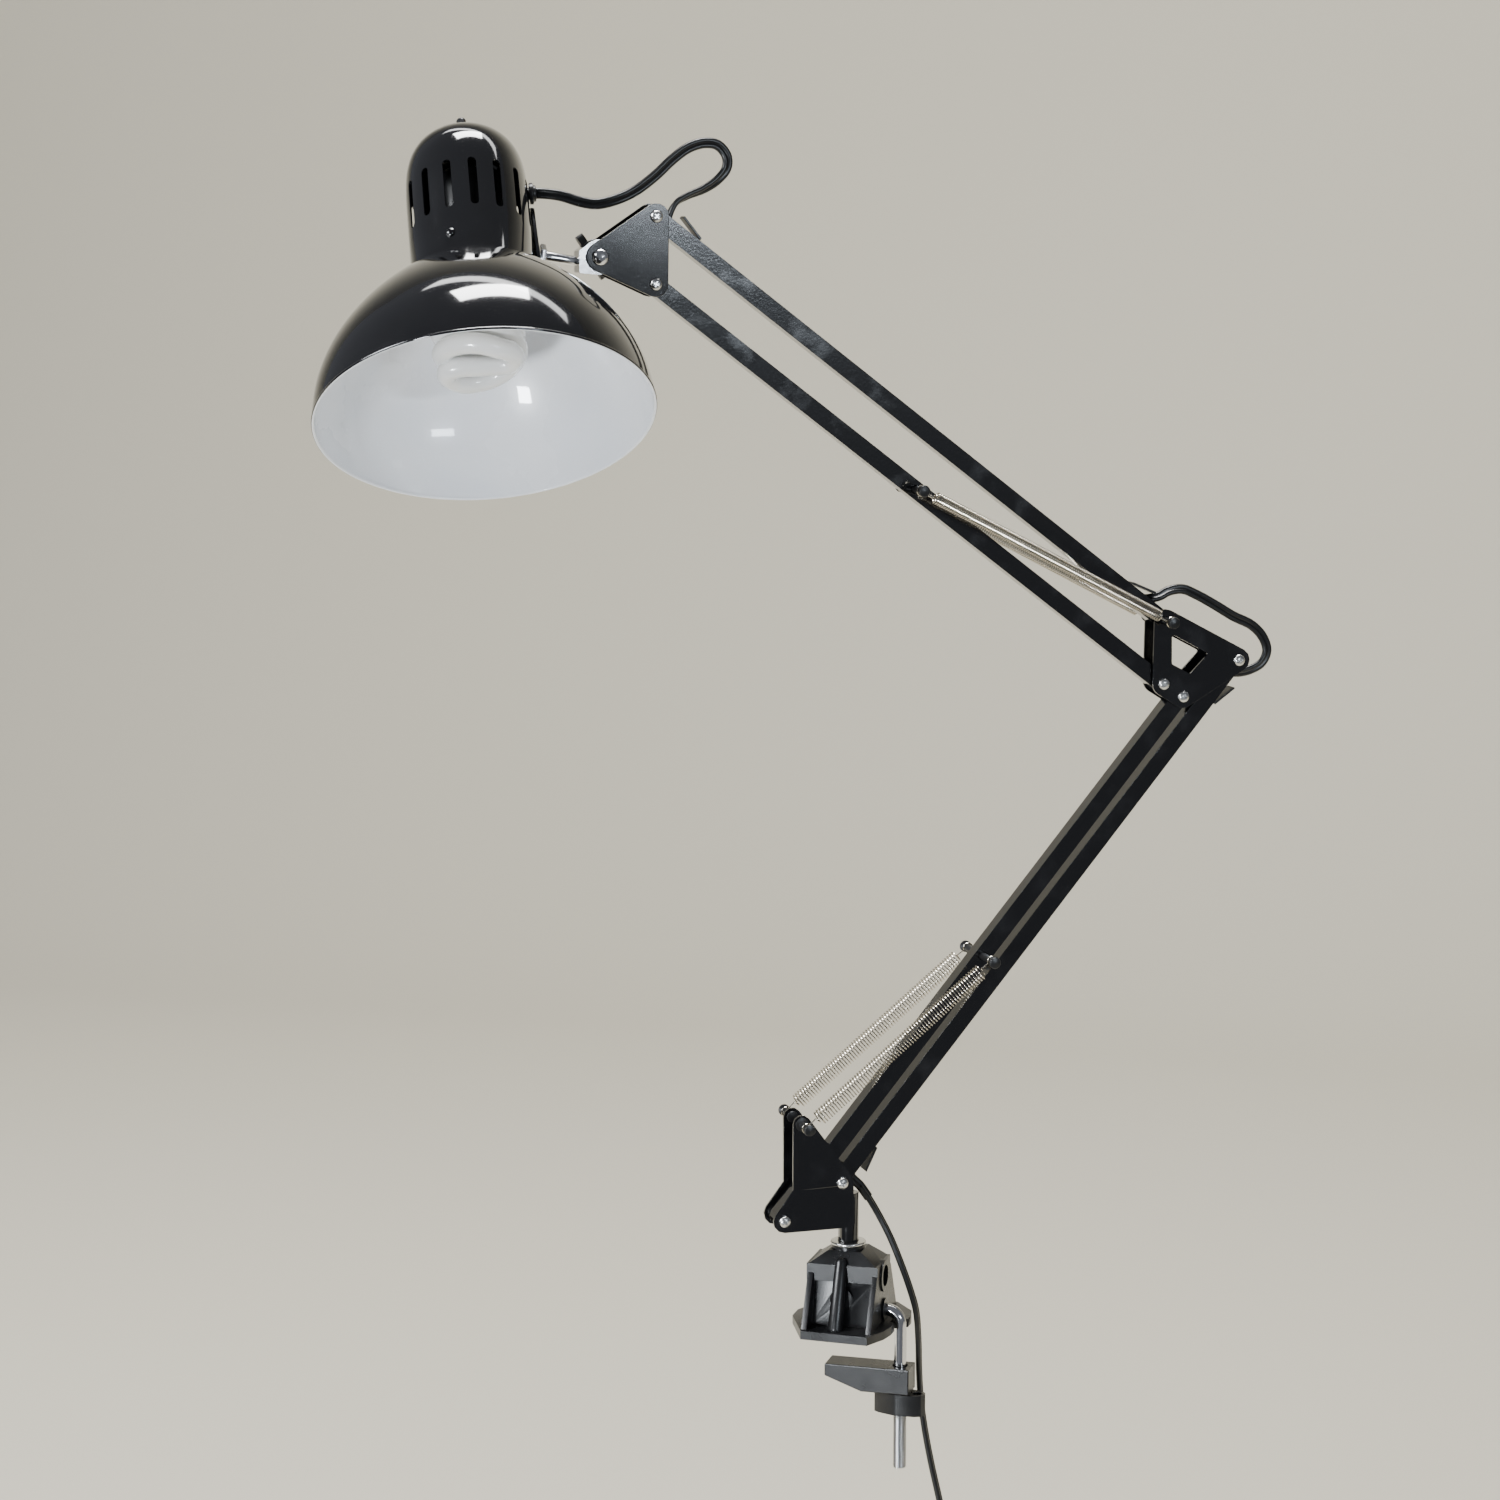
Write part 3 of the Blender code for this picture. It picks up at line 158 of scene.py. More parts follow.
class Shape:
    """Collects grids, each a closed skin, into one piece."""

    def __init__(self):
        self.points = []
        self.faces = []
        self.kinds = []
        self.count = 0

    def grid(self, points, caps=True, closed=False, kind=0):
        rows, columns = points.shape[:2]
        faces = grid_faces(rows, columns, self.count, closed)
        if caps and not closed:
            last = self.count + (rows - 1) * columns
            faces.append(list(range(self.count + columns - 1, self.count - 1, -1)))
            faces.append(list(range(last, last + columns)))
        self.points.append(points.reshape(-1, 3))
        self.faces += faces
        kinds = kind if isinstance(kind, list) else [kind] * (rows if closed else rows - 1)
        flat = [k for k in kinds for _ in range(columns)]
        self.kinds += flat + [flat[-1]] * (len(faces) - len(flat))
        self.count += rows * columns
        return self

    def make(self, name, smooth=math.radians(35)):
        obj = mesh_object(name, np.concatenate(self.points), self.faces, smooth)
        if any(self.kinds):
            obj.data.polygons.foreach_set("material_index", self.kinds)
        return obj


def axes_for(direction):
    """Two unit vectors across a direction, the first leaning upwards, or along the arm plane
    when the direction itself is nearly upright."""
    direction = np.asarray(direction, float) / np.linalg.norm(direction)
    hint = UP if abs(direction[2]) < 0.9 else ALONG
    first = hint - (hint @ direction) * direction
    first = first / np.linalg.norm(first)
    return first, np.cross(direction, first)


def lathe(profile, place, direction, sides=48, outline=None):
    """Turned grid: every (radius, height) of the profile goes round the direction as a circle;
    outline, a function of the turn, may scale the radius."""
    profile = np.asarray(profile, float)
    first, second = axes_for(direction)
    turn = np.linspace(0, 2 * np.pi, sides, endpoint=False)[None, :, None]
    radius = profile[:, 0][:, None, None]
    height = profile[:, 1][:, None, None]
    if outline:
        radius = radius * outline(turn)
    direction = np.asarray(direction, float) / np.linalg.norm(direction)
    return (np.asarray(place, float) + radius * np.cos(turn) * first
            + radius * np.sin(turn) * second + height * direction)


def hexagon(turn):
    """Circle to hexagon: the distance to the flats over the distance to the corners."""
    return np.cos(np.pi / 6) / np.cos((turn % (np.pi / 3)) - np.pi / 6)


def rounded(profile, radius=0.0003, steps=3):
    """Profile with each inner corner cut by a short arc: points of a quadratic curve through it."""
    profile = np.asarray(profile, float)
    out = [profile[0]]
    for before, corner, after in zip(profile, profile[1:], profile[2:]):
        back = np.linalg.norm(before - corner)
        ahead = np.linalg.norm(after - corner)
        reach = min(radius, back / 2.2, ahead / 2.2)
        start = corner + (before - corner) / max(back, 1e-9) * reach
        end = corner + (after - corner) / max(ahead, 1e-9) * reach
        for share in np.linspace(0, 1, steps):
            out.append((1 - share) ** 2 * start + 2 * share * (1 - share) * corner + share ** 2 * end)
    out.append(profile[-1])
    return np.array(out)


def sweep(path, section, reference, twist=0.0):
    """Grid of a section carried along a path: its first axis lies across the path and the
    reference direction, its second along the reference; twist turns it about the path."""
    path = np.asarray(path, float)
    tangent = np.gradient(path, axis=0)
    tangent = tangent / np.linalg.norm(tangent, axis=1, keepdims=True)
    reference = np.broadcast_to(reference, path.shape)
    side = np.cross(tangent, reference)
    side = side / np.linalg.norm(side, axis=1, keepdims=True)
    rise = np.cross(side, tangent)
    twist = np.broadcast_to(twist, len(path))[:, None]
    across = side * np.cos(twist) + rise * np.sin(twist)
    upward = rise * np.cos(twist) - side * np.sin(twist)
    section = np.asarray(section, float)
    return (path[:, None, :] + section[None, :, 0, None] * across[:, None, :]
            + section[None, :, 1, None] * upward[:, None, :])


def ring(radius, sides=12):
    """Points round a circle, clockwise as sweep() needs for faces that point out."""
    turn = np.linspace(0, 2 * np.pi, sides, endpoint=False)
    return np.stack([radius * np.cos(turn), radius * np.sin(turn)], -1)


def smooth_route(points, spacing):
    """Centripetal curve through the points, read off at nearly even spacing."""
    pts = np.asarray(points, float)
    pts = np.vstack([2 * pts[0] - pts[1], pts, 2 * pts[-1] - pts[-2]])
    share = np.linspace(0, 1, 24, endpoint=False)[:, None]
    fine = []
    for p0, p1, p2, p3 in zip(pts, pts[1:], pts[2:], pts[3:]):
        t1 = np.linalg.norm(p1 - p0) ** 0.5
        t2 = t1 + np.linalg.norm(p2 - p1) ** 0.5
        t3 = t2 + np.linalg.norm(p3 - p2) ** 0.5
        t = t1 + (t2 - t1) * share
        a1 = p0 * ((t1 - t) / t1) + p1 * (t / t1)
        a2 = p1 * ((t2 - t) / (t2 - t1)) + p2 * ((t - t1) / (t2 - t1))
        a3 = p2 * ((t3 - t) / (t3 - t2)) + p3 * ((t - t2) / (t3 - t2))
        b1 = a1 * ((t2 - t) / t2) + a2 * (t / t2)
        b2 = a2 * ((t3 - t) / (t3 - t1)) + a3 * ((t - t1) / (t3 - t1))
        fine.append(b1 * ((t2 - t) / (t2 - t1)) + b2 * ((t - t1) / (t2 - t1)))
    return even(np.vstack(fine + [pts[-2:-1]]), spacing)


def even(path, spacing):
    """The path read off at even spacing along its length."""
    travel = lengths(path)
    wanted = np.linspace(0, travel[-1], max(3, round(travel[-1] / spacing)) + 1)
    return np.stack([np.interp(wanted, travel, path[:, k]) for k in range(3)], -1)


def lengths(path):
    """Distance travelled along the path at each of its points."""
    return np.concatenate([[0], np.cumsum(np.linalg.norm(np.diff(path, axis=0), axis=1))])


# ---- shader maths and finishes ----------------------------------------------------------------
class Signal:
    """A shader socket that adds its Math nodes when it is used in an expression."""

    def __init__(self, coat, socket):
        self.coat = coat
        self.socket = socket

    def math(self, operation, *values):
        return self.coat.node("ShaderNodeMath", {"operation": operation}, values)

    def __add__(self, other):
        return self.math("ADD", self, other)

    def __mul__(self, other):
        return self.math("MULTIPLY", self, other)

    def __sub__(self, other):
        return self.math("SUBTRACT", self, other)

    def __rsub__(self, other):
        return self.math("SUBTRACT", other, self)

    def __pow__(self, other):
        return self.math("POWER", self, other)

    __radd__ = __add__
    __rmul__ = __mul__


class Coat:
    """One finish: a Principled material whose varying sockets are fed by Signals."""

    def __init__(self, name, colour, roughness, **constants):
        self.material = bpy.data.materials.new(name)
        self.material.use_nodes = True
        self.tree = self.material.node_tree
        self.shader = self.tree.nodes["Principled BSDF"]
        self.place = self.node("ShaderNodeTexCoord", {}, (), "Object")
        self.feed("Base Color", (*colour, 1.0))
        self.feed("Roughness", roughness)
        for socket, value in constants.items():
            self.feed(socket.replace("_", " "), value)

    def node(self, kind, settings, values, output=0):
        made = self.tree.nodes.new(kind)
        for key, value in settings.items():
            setattr(made, key, value)
        pairs = values.items() if isinstance(values, dict) else enumerate(values)
        for key, value in pairs:
            if isinstance(value, Signal):
                self.tree.links.new(value.socket, made.inputs[key])
            else:
                made.inputs[key].default_value = value
        return Signal(self, made.outputs[output])

    def feed(self, socket, value):
        if isinstance(value, Signal):
            self.tree.links.new(value.socket, self.shader.inputs[socket])
        else:
            self.shader.inputs[socket].default_value = value

    def noise(self, scale, detail):
        values = {"Vector": self.place, "Scale": scale, "Detail": detail}
        return self.node("ShaderNodeTexNoise", {}, values)

    def between(self, mask, low, high):
        """A number that goes from low to high as the mask goes from 0 to 1."""
        return mask * (high - low) + low

    def tint(self, mask, first, second):
        """A colour that goes from the first to the second as the mask goes from 0 to 1."""
        values = {0: mask, 6: (*first, 1.0), 7: (*second, 1.0)}
        return self.node("ShaderNodeMix", {"data_type": "RGBA"}, values, 2)

    def bump(self, height, strength, distance):
        self.feed("Normal", self.node("ShaderNodeBump", {}, {"Height": height, "Strength": strength,
                                                             "Distance": distance}))

    def spread(self, mask, low, high):
        """The mask stretched so that low becomes 0 and high 1, clamped."""
        values = {0: mask, 1: low, 2: high}
        return self.node("ShaderNodeMapRange", {"clamp": True}, values)


def enamel(name, colour, haze, ripple):
    """Sprayed enamel: hard clear gloss with a little haze, orange peel and fine dust."""
    coat = Coat(name, colour, 0.12, Coat_Weight=1.0, Coat_Roughness=0.03)
    cloud = coat.noise(22.0, 4.0)
    dust = coat.spread(coat.noise(900.0, 2.0), 0.66, 0.74)
    coat.feed("Roughness", coat.between(cloud, haze, haze + 0.09) + dust * 0.12)
    light = tuple(min(1.0, c * 1.35 + 0.004) for c in colour)
    coat.feed("Base Color", coat.tint(cloud, colour, light))
    coat.bump(coat.noise(420.0, 2.0) + coat.noise(70.0, 1.0) * 1.5, ripple, 0.0002)
    return coat.material


def semi_gloss_paint():
    """Baked paint on the arm tubes: smooth, with a fine grain and rubbed spots."""
    coat = Coat("arm_paint", (0.004, 0.004, 0.005), 0.12, Coat_Weight=1.0, Coat_Roughness=0.05)
    rub = coat.spread(coat.noise(55.0, 5.0), 0.52, 0.80)
    coat.feed("Roughness", coat.between(rub, 0.10, 0.22) + coat.noise(1600.0, 1.0) * 0.03)
    coat.feed("Base Color", coat.tint(rub, (0.003, 0.003, 0.0035), (0.010, 0.010, 0.011)))
    coat.bump(coat.noise(650.0, 3.0), 0.12, 0.0002)
    return coat.material


def moulded(name, colour, grain=1500.0, roughness=0.32):
    """Moulded nylon: fine spark grain, slightly paler where it has been handled."""
    coat = Coat(name, colour, roughness)
    wear = coat.spread(coat.noise(90.0, 4.0), 0.45, 0.85)
    coat.feed("Base Color", coat.tint(wear, colour, tuple(c * 1.7 + 0.004 for c in colour)))
    coat.feed("Roughness", coat.between(coat.noise(60.0, 3.0), roughness - 0.07, roughness + 0.12))
    coat.bump(coat.noise(grain, 2.0) + coat.noise(260.0, 2.0) * 0.5, 0.22, 0.00025)
    return coat.material


def plated(name, colour, low, high, grain=300.0):
    """Plated steel: bright metal with faint smudges and fine polishing marks."""
    coat = Coat(name, colour, low, Metallic=1.0)
    smudge = coat.noise(80.0, 4.0)
    coat.feed("Roughness", coat.between(smudge, low, high) + coat.noise(grain * 6, 2.0) * 0.04)
    coat.feed("Base Color", coat.tint(smudge, colour, tuple(c * 0.86 for c in colour)))
    coat.bump(coat.noise(grain, 3.0), 0.06, 0.0002)
    return coat.material


def lamp_glass():
    """Phosphor-coated tube: milky white under clear glass, a little greyer in patches."""
    coat = Coat("lamp_glass", (0.86, 0.86, 0.84), 0.22, Coat_Weight=1.0, Coat_Roughness=0.02)
    cloud = coat.noise(45.0, 3.0)
    coat.feed("Base Color", coat.tint(cloud, (0.80, 0.80, 0.79), (0.92, 0.92, 0.90)))
    coat.feed("Roughness", coat.between(cloud, 0.18, 0.32))
    coat.bump(coat.noise(30.0, 1.0), 0.08, 0.0006)
    return coat.material


def cord_jacket():
    """Flexible PVC jacket: soft sheen, fine drag marks and a few pale scuffs."""
    coat = Coat("cord_jacket", (0.006, 0.006, 0.006), 0.30)
    scuff = coat.spread(coat.noise(140.0, 5.0), 0.62, 0.82)
    coat.feed("Base Color", coat.tint(scuff, (0.006, 0.006, 0.006), (0.022, 0.021, 0.020)))
    coat.feed("Roughness", coat.between(coat.noise(200.0, 3.0), 0.24, 0.38))
    coat.bump(coat.noise(1100.0, 2.0), 0.15, 0.0002)
    return coat.material


BLACK_ENAMEL = enamel("black_enamel", (0.003, 0.003, 0.0035), 0.05, 0.035)
WHITE_ENAMEL = enamel("white_enamel", (0.84, 0.87, 0.93), 0.22, 0.05)
ARM_PAINT = semi_gloss_paint()
NYLON = moulded("black_nylon", (0.006, 0.006, 0.0065), 1500.0, 0.27)
SOFT_PLASTIC = moulded("black_vinyl", (0.007, 0.007, 0.0075), 900.0, 0.33)
CHROME = plated("chrome_plate", (0.86, 0.86, 0.87), 0.05, 0.14)
ZINC = plated("zinc_screw", (0.78, 0.78, 0.76), 0.16, 0.30)
SPRING_WIRE = plated("nickel_wire", (0.60, 0.56, 0.48), 0.14, 0.26, 900.0)
BRASS = plated("brass_blade", (0.78, 0.62, 0.33), 0.18, 0.32)
GLASS = lamp_glass()
LAMP_PLASTIC = moulded("white_ballast", (0.72, 0.72, 0.70), 1200.0, 0.35)
JACKET = cord_jacket()


def dress(obj, material, body=None, nodes=(), more=()):
    """Finish a piece: its materials, its body and the CAD nodes it stands for."""
    for each in (material, *more):
        obj.data.materials.append(each)
    if body:
        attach(obj, body)
    if nodes:
        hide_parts(*nodes)
    return obj


# ---- cords ------------------------------------------------------------------------------------
CORD_WIDTH = 0.0060
CORD_HALF_THICK = 0.0016


def twin_section():
    """Two round cores side by side with a shallow groove between them."""
    core = CORD_WIDTH / 2 - CORD_HALF_THICK
    half = np.radians(np.linspace(-130, 130, 11))
    right = np.stack([core + CORD_HALF_THICK * np.cos(half), CORD_HALF_THICK * np.sin(half)], -1)
    left = -right
    groove = CORD_HALF_THICK * 0.66
    return np.vstack([right, [(0.0, groove)], left, [(0.0, -groove)]])


# routes listed: the loops in the arm plane as (s, z, out), the free cord in the room
HEAD_LOOP = [(-0.1674, 0.6526, -0.0050), (-0.1550, 0.6490, -0.0030), (-0.1468, 0.6479, -0.0015),
             (-0.1367, 0.6501, 0.0), (-0.1254, 0.6550, 0.0), (-0.1140, 0.6632, 0.0),
             (-0.1037, 0.6725, 0.0), (-0.0951, 0.6785, 0.0), (-0.0860, 0.6813, 0.0),
             (-0.0782, 0.6802, 0.0), (-0.0730, 0.6742, 0.0), (-0.0730, 0.6677, 0.0),
             (-0.0783, 0.6611, 0.0), (-0.0860, 0.6562, 0.0), (-0.0952, 0.6525, 0.0),
             (-0.1021, 0.6485, 0.0)]
ELBOW_LOOP = [(0.1883, 0.4226), (0.1939, 0.4253), (0.2027, 0.4263), (0.2122, 0.4225),
              (0.2236, 0.4163), (0.2352, 0.4095), (0.2470, 0.4038), (0.2538, 0.3971),
              (0.2570, 0.3887), (0.2542, 0.3817), (0.2476, 0.3778), (0.2410, 0.3762)]
TAIL_EXIT = (0.0015, 0.0895)
HANGING = [(0.0062, 0.0036, 0.0830), (0.0105, 0.0058, 0.0760), (0.0165, 0.0078, 0.0650),
           (0.0232, 0.0085, 0.0520), (0.0302, 0.0090, 0.0350), (0.0352, 0.0104, 0.0200),
           (0.0380, 0.0122, 0.0080), (0.0388, 0.0150, -0.0100), (0.0388, 0.0175, -0.0300),
           (0.0399, 0.0180, -0.0480), (0.0425, 0.0180, -0.0660), (0.0464, 0.0180, -0.0858),
           (0.0507, 0.0180, -0.1043), (0.0537, 0.0180, -0.1180), (0.0545, 0.0180, -0.1270)]
INNER_START = 0.030                # from a pivot to where a loop meets the cord inside the tube
HANK_TURNS = 6
HEAD_CUTS = (0.16, 0.52)           # shares of the head loop at which it is cut in three


def beside(point, lift, along, out):
    """A place by a cord tube: along it from the pivot, and out past its open side."""
    return (point[0] + along * math.cos(lift) + out * math.sin(lift),
            point[1] + along * math.sin(lift) - out * math.cos(lift))


def cord_piece(name, path, twist, nodes=()):
    """A length of cord: the twin section swept along the path and turned by the twist, in the cord jacket,
    standing for the given nodes.
    """
    piece = Shape().grid(sweep(path, twin_section(), ACROSS, twist)).make(name)
    dress(piece, JACKET, nodes=nodes)
    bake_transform(piece)
    return piece


def held_cords():
    """The loops at the head and elbow and the tail at the base; the head loop is cut in three pieces and the elbow
    loop in two."""
    relief = [on_shade(NECK_R + out, RELIEF_H, RELIEF_TURN) for out in (-0.0048, -0.0002, 0.0045)]
    entry = [(0.0078, 0.0042), (0.0105, 0.0012), (0.0175, 0.0), (INNER_START, 0.0)]
    head = [arm(*beside(HEAD_HIGH, UPPER_LIFT, -a, out)) for a, out in entry]
    path = smooth_route(relief + [arm(*at) for at in HEAD_LOOP] + head, 0.0015)
    count = len(path)
    twist = np.pi / 2 * np.clip((np.linspace(0, 1, count) - 0.62) / 0.25, 0, 1)
    cuts = [0, *(round(count * share) for share in HEAD_CUTS), count - 1]
    crossing = [("shade", "clevis"), ("clevis", "head"), ("head", "upper_top_arm")]
    for k, bodies in enumerate(crossing):
        part = slice(cuts[k], cuts[k + 1] + 1)
        cord_piece(f"cord_head_loop_{k + 1}", path[part], twist[part],
                   ["cord_head_loop"] if k == 0 else ())
    leave = [(INNER_START, 0.0), (0.0220, 0.0008), (0.0150, 0.0042)]
    entry = [(0.0065, 0.0052), (0.0100, 0.0015), (0.0170, 0.0), (INNER_START, 0.0)]
    start = [arm(*beside(ELBOW_HIGH, UPPER_LIFT, a, out)) for a, out in leave]
    end = [arm(*beside(ELBOW_REAR, LOWER_LIFT, -a, out)) for a, out in entry]
    path = smooth_route(start + [arm(*at) for at in ELBOW_LOOP] + end, 0.0015)
    count = len(path)
    twist = np.pi / 2 * (1 - np.sin(np.pi * np.linspace(0, 1, count)) ** 0.7)
    middle = round(count * 0.55)
    cord_piece("cord_elbow_loop_upper", path[:middle + 1], twist[:middle + 1],
               ["cord_elbow_loop"])
    cord_piece("cord_elbow_loop_lower", path[middle:], twist[middle:])
    leave = [(INNER_START, 0.0), (0.0200, 0.0002), (0.0120, 0.0022)]
    tail = [arm(*beside(BASE_REAR, LOWER_LIFT, a, out)) for a, out in leave] + [arm(*TAIL_EXIT)]
    path = smooth_route(tail + [np.array(HANGING[0]), np.array(HANGING[1])], 0.0012)
    cord_piece("cord_tail", path, 0.5, ["cord_tail"])


def hank_path(top):
    """Tied hank: the cord comes straight down its middle, then runs round stretched loops whose
    legs draw in to the tie by a cosine, and leaves straight down; the loops step across the hank
    and come back on a wider layer."""
    low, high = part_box("cord_hank")
    centre = np.array((low + high) / 2)
    bend = 0.0200
    straight = (high[2] - low[2]) / 2 - 0.0240
    turns = HANK_TURNS
    steps = 72
    along = np.linspace(0, turns, turns * steps + 1)
    share = (along % 1.0) * 4
    leg = share % 2
    side = np.where(share < 2, 1.0, -1.0)
    down = np.clip(leg, 0, 1)
    height = side * straight * (1 - 2 * down)
    fold = np.pi * np.clip(leg - 1, 0, 1)
    dip = 0.0120 * (1 + np.cos(np.pi * height / straight)) / 2
    x = np.where(leg < 1, side * (bend - dip), side * bend * np.cos(fold))
    z = np.where(leg < 1, height, -side * (straight + bend * np.sin(fold)))
    layer = np.clip((along - turns / 2 + 0.2) / 0.4, 0, 1)
    wider = 1 + 0.09 * (2 * layer - 1)
    drift = 0.0066 * (np.where(along < turns / 2, along, turns - along) - turns / 4)
    loops = np.stack([x * wider, drift, z * (1 + 0.02 * (2 * layer - 1))], -1) + centre
    join = np.argmin(np.abs(z[:steps // 4]))
    lead = np.linspace(0, 1, 24)[:, None]
    ease = lead ** 2 * (3 - 2 * lead)
    inward = np.hstack([top[:2] + (loops[join, :2] - top[:2]) * ease,
                        top[2] + (loops[join, 2] - top[2]) * lead])
    last = len(loops) - steps + join
    bottom = np.array((centre[0], centre[1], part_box("plug")[1][2] - 0.004))
    outward = np.hstack([loops[last, :2] + (bottom[:2] - loops[last, :2]) * ease,
                         loops[last, 2] + (bottom[2] - loops[last, 2]) * lead])
    return np.vstack([inward[:-1], loops[join:last], outward])


def plug():
    """Two-pin plug: a soft grip that swells to a flange, with two flat blades."""
    low, high = (np.array(corner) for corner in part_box("plug"))
    centre = (low + high) / 2
    top = high[2]
    face = top - 0.026
    turn = np.linspace(0, 2 * np.pi, 48, endpoint=False)[None, :]
    depth = [0.0, 0.0006, 0.003, 0.007, 0.012, 0.017, 0.0215, 0.0235, 0.0255, 0.026]
    depth = np.array(depth)[:, None]
    known = [0, 0.003, 0.012, 0.0215, 0.0235, 0.026]
    half_x = np.interp(depth, known, [0.0042, 0.0068, 0.0095, 0.0108, 0.0122, 0.0122])
    half_y = np.interp(depth, known, [0.0034, 0.0050, 0.0062, 0.0068, 0.0082, 0.0082])
    half_x[0], half_y[0] = 0.0030, 0.0024
    power = 0.55
    x = half_x * np.sign(np.cos(turn)) * np.abs(np.cos(turn)) ** power
    y = half_y * np.sign(np.sin(turn)) * np.abs(np.sin(turn)) ** power
    shape = Shape()
    body = np.stack([centre[0] + x, centre[1] + y, np.broadcast_to(top - depth, x.shape)], -1)
    shape.grid(body[::-1])
    for shift in (-0.00635, 0.00635):
        heights = np.array([face - 0.0172, face - 0.0160, face + 0.001])
        widths = np.array([0.0022, 0.0031, 0.0031])
        corners = np.array([(1, -1), (1, 1), (-1, 1), (-1, -1)])
        blade = np.stack([centre[0] + shift + corners[None, :, 0] * 0.00070 * np.ones((3, 1)),
                          centre[1] + corners[None, :, 1] * widths[:, None],
                          np.broadcast_to(heights[:, None], (3, 4))], -1)
        shape.grid(blade, kind=1)
    return dress(shape.make("plug"), SOFT_PLASTIC, "clamp", ["plug"], [BRASS])


def hank_tie():
    """Wire tie: three rounds of plastic-coated wire along a rounded rectangle."""
    low, high = (np.array(corner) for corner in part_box("hank_tie"))
    centre = (low + high) / 2
    half = (high - low) / 2
    turn = np.linspace(0, 2 * np.pi, 64, endpoint=False)
    wrap = np.stack([half[0] * np.sign(np.cos(turn)) * np.abs(np.cos(turn)) ** 0.6,
                     half[1] * np.sign(np.sin(turn)) * np.abs(np.sin(turn)) ** 0.6], -1)
    wire = ring(0.0011, 8)
    shape = Shape()
    for k in range(3):
        level = centre[2] + (k - 1) * 0.0023
        loop = np.hstack([centre[:2] + wrap * 0.93, np.full((64, 1), level)])
        tangent = np.roll(loop, -1, 0) - np.roll(loop, 1, 0)
        out = np.cross(tangent, UP)
        out = out / np.linalg.norm(out, axis=1, keepdims=True)
        shape.grid(loop[:, None] + wire[None, :, 0, None] * out[:, None]
                   + wire[None, :, 1, None] * UP, closed=True)
    return dress(shape.make("hank_tie"), SOFT_PLASTIC, "clamp", ["hank_tie"])


def free_cord():
    """The cord from the base down to the plug, with its hank, tie and plug."""
    hanging = smooth_route(HANGING, 0.002)
    path = np.vstack([hanging[:-1], hank_path(hanging[-1])])
    path = even(path, 0.0022)
    piece = Shape().grid(sweep(path, twin_section(), (0.0, 1.0, 0.0), np.pi / 2)).make("power_cord")
    dress(piece, JACKET, nodes=["cord_hanging", "cord_hank", "cord_plug_lead"])
    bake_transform(piece)
    tie = hank_tie()
    plug()


held_cords()
free_cord()


# ---- springs ----------------------------------------------------------------------------------
def round_wire(path, radius, sides):
    """Round wire along a path, its section carried on by the smallest turn from point to point."""
    path = np.asarray(path, float)
    tangent = np.gradient(path, axis=0)
    tangent = tangent / np.linalg.norm(tangent, axis=1, keepdims=True)
    across = [axes_for(tangent[0])[0]]
    for direction in tangent[1:]:
        moved = across[-1] - (across[-1] @ direction) * direction
        across.append(moved / np.linalg.norm(moved))
    across = np.array(across)
    upward = np.cross(tangent, across)
    circle = ring(radius, sides)
    return (path[:, None, :] + circle[None, :, 0, None] * across[:, None, :]
            + circle[None, :, 1, None] * upward[:, None, :])


def spring_path(start, end, radius, pitch, hook_radius):
    """Extension spring: a helix between two pegs, with an open ring round each peg that a short
    ramp joins to the first and last turn."""
    axis = end - start
    length = np.linalg.norm(axis)
    axis = axis / length
    side = np.cross(ACROSS, axis)
    around = np.radians(np.linspace(-150, 165, 22))[:, None]
    hook = hook_radius * (np.cos(around) * -axis + np.sin(around) * side)
    neck = hook_radius + 0.0045
    turns = round((length - 2 * neck) / pitch)
    steps = 16
    turn = np.linspace(0, 2 * np.pi * turns, turns * steps + 1)[:, None]
    swell = np.clip(np.minimum(turn, turn[-1] - turn) / (2 * np.pi), 0.25, 1.0)
    along = neck + (length - 2 * neck) * turn / turn[-1]
    helix = start + along * axis + radius * swell * (np.cos(turn) * side + np.sin(turn) * ACROSS)
    finish = end + hook_radius * (np.cos(around[::-1]) * axis + np.sin(around[::-1]) * side)
    return np.vstack([start + hook, helix, finish])


def springs():
    """Two open springs beside the lower arm and two closer wound ones beside the upper arm."""
    # label, ends, distance out, coil radius, pitch, wire radius, share that bends, bodies
    kinds = [("lower", BASE_STUD, LOWER_PEG, 0.0210, 0.0044, 0.00186, 0.00038, 0.52,
              ("yoke", "lower_front_arm")),
             ("upper", ELBOW_HIGH, UPPER_PEG, 0.0177, 0.0031, 0.00143, 0.00050, 0.42,
              ("elbow", "upper_bottom_arm"))]
    for label, first, last, out, radius, pitch, wire, settle, bodies in kinds:
        for name, side in (("near", 1), ("far", -1)):
            start = arm(*first, side * out)
            end = arm(*last, side * out)
            path = spring_path(start, end, radius, pitch, 0.0022 + wire + 0.0002)
            coil = Shape().grid(round_wire(path, wire, 6)).make(f"{label}_coil_spring_{name}")
            dress(coil, SPRING_WIRE, nodes=[f"{label}_spring_{name}"])
            tuple(start + (end - start) * 0.02)
            tuple(start + (end - start) * settle)
            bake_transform(coil)


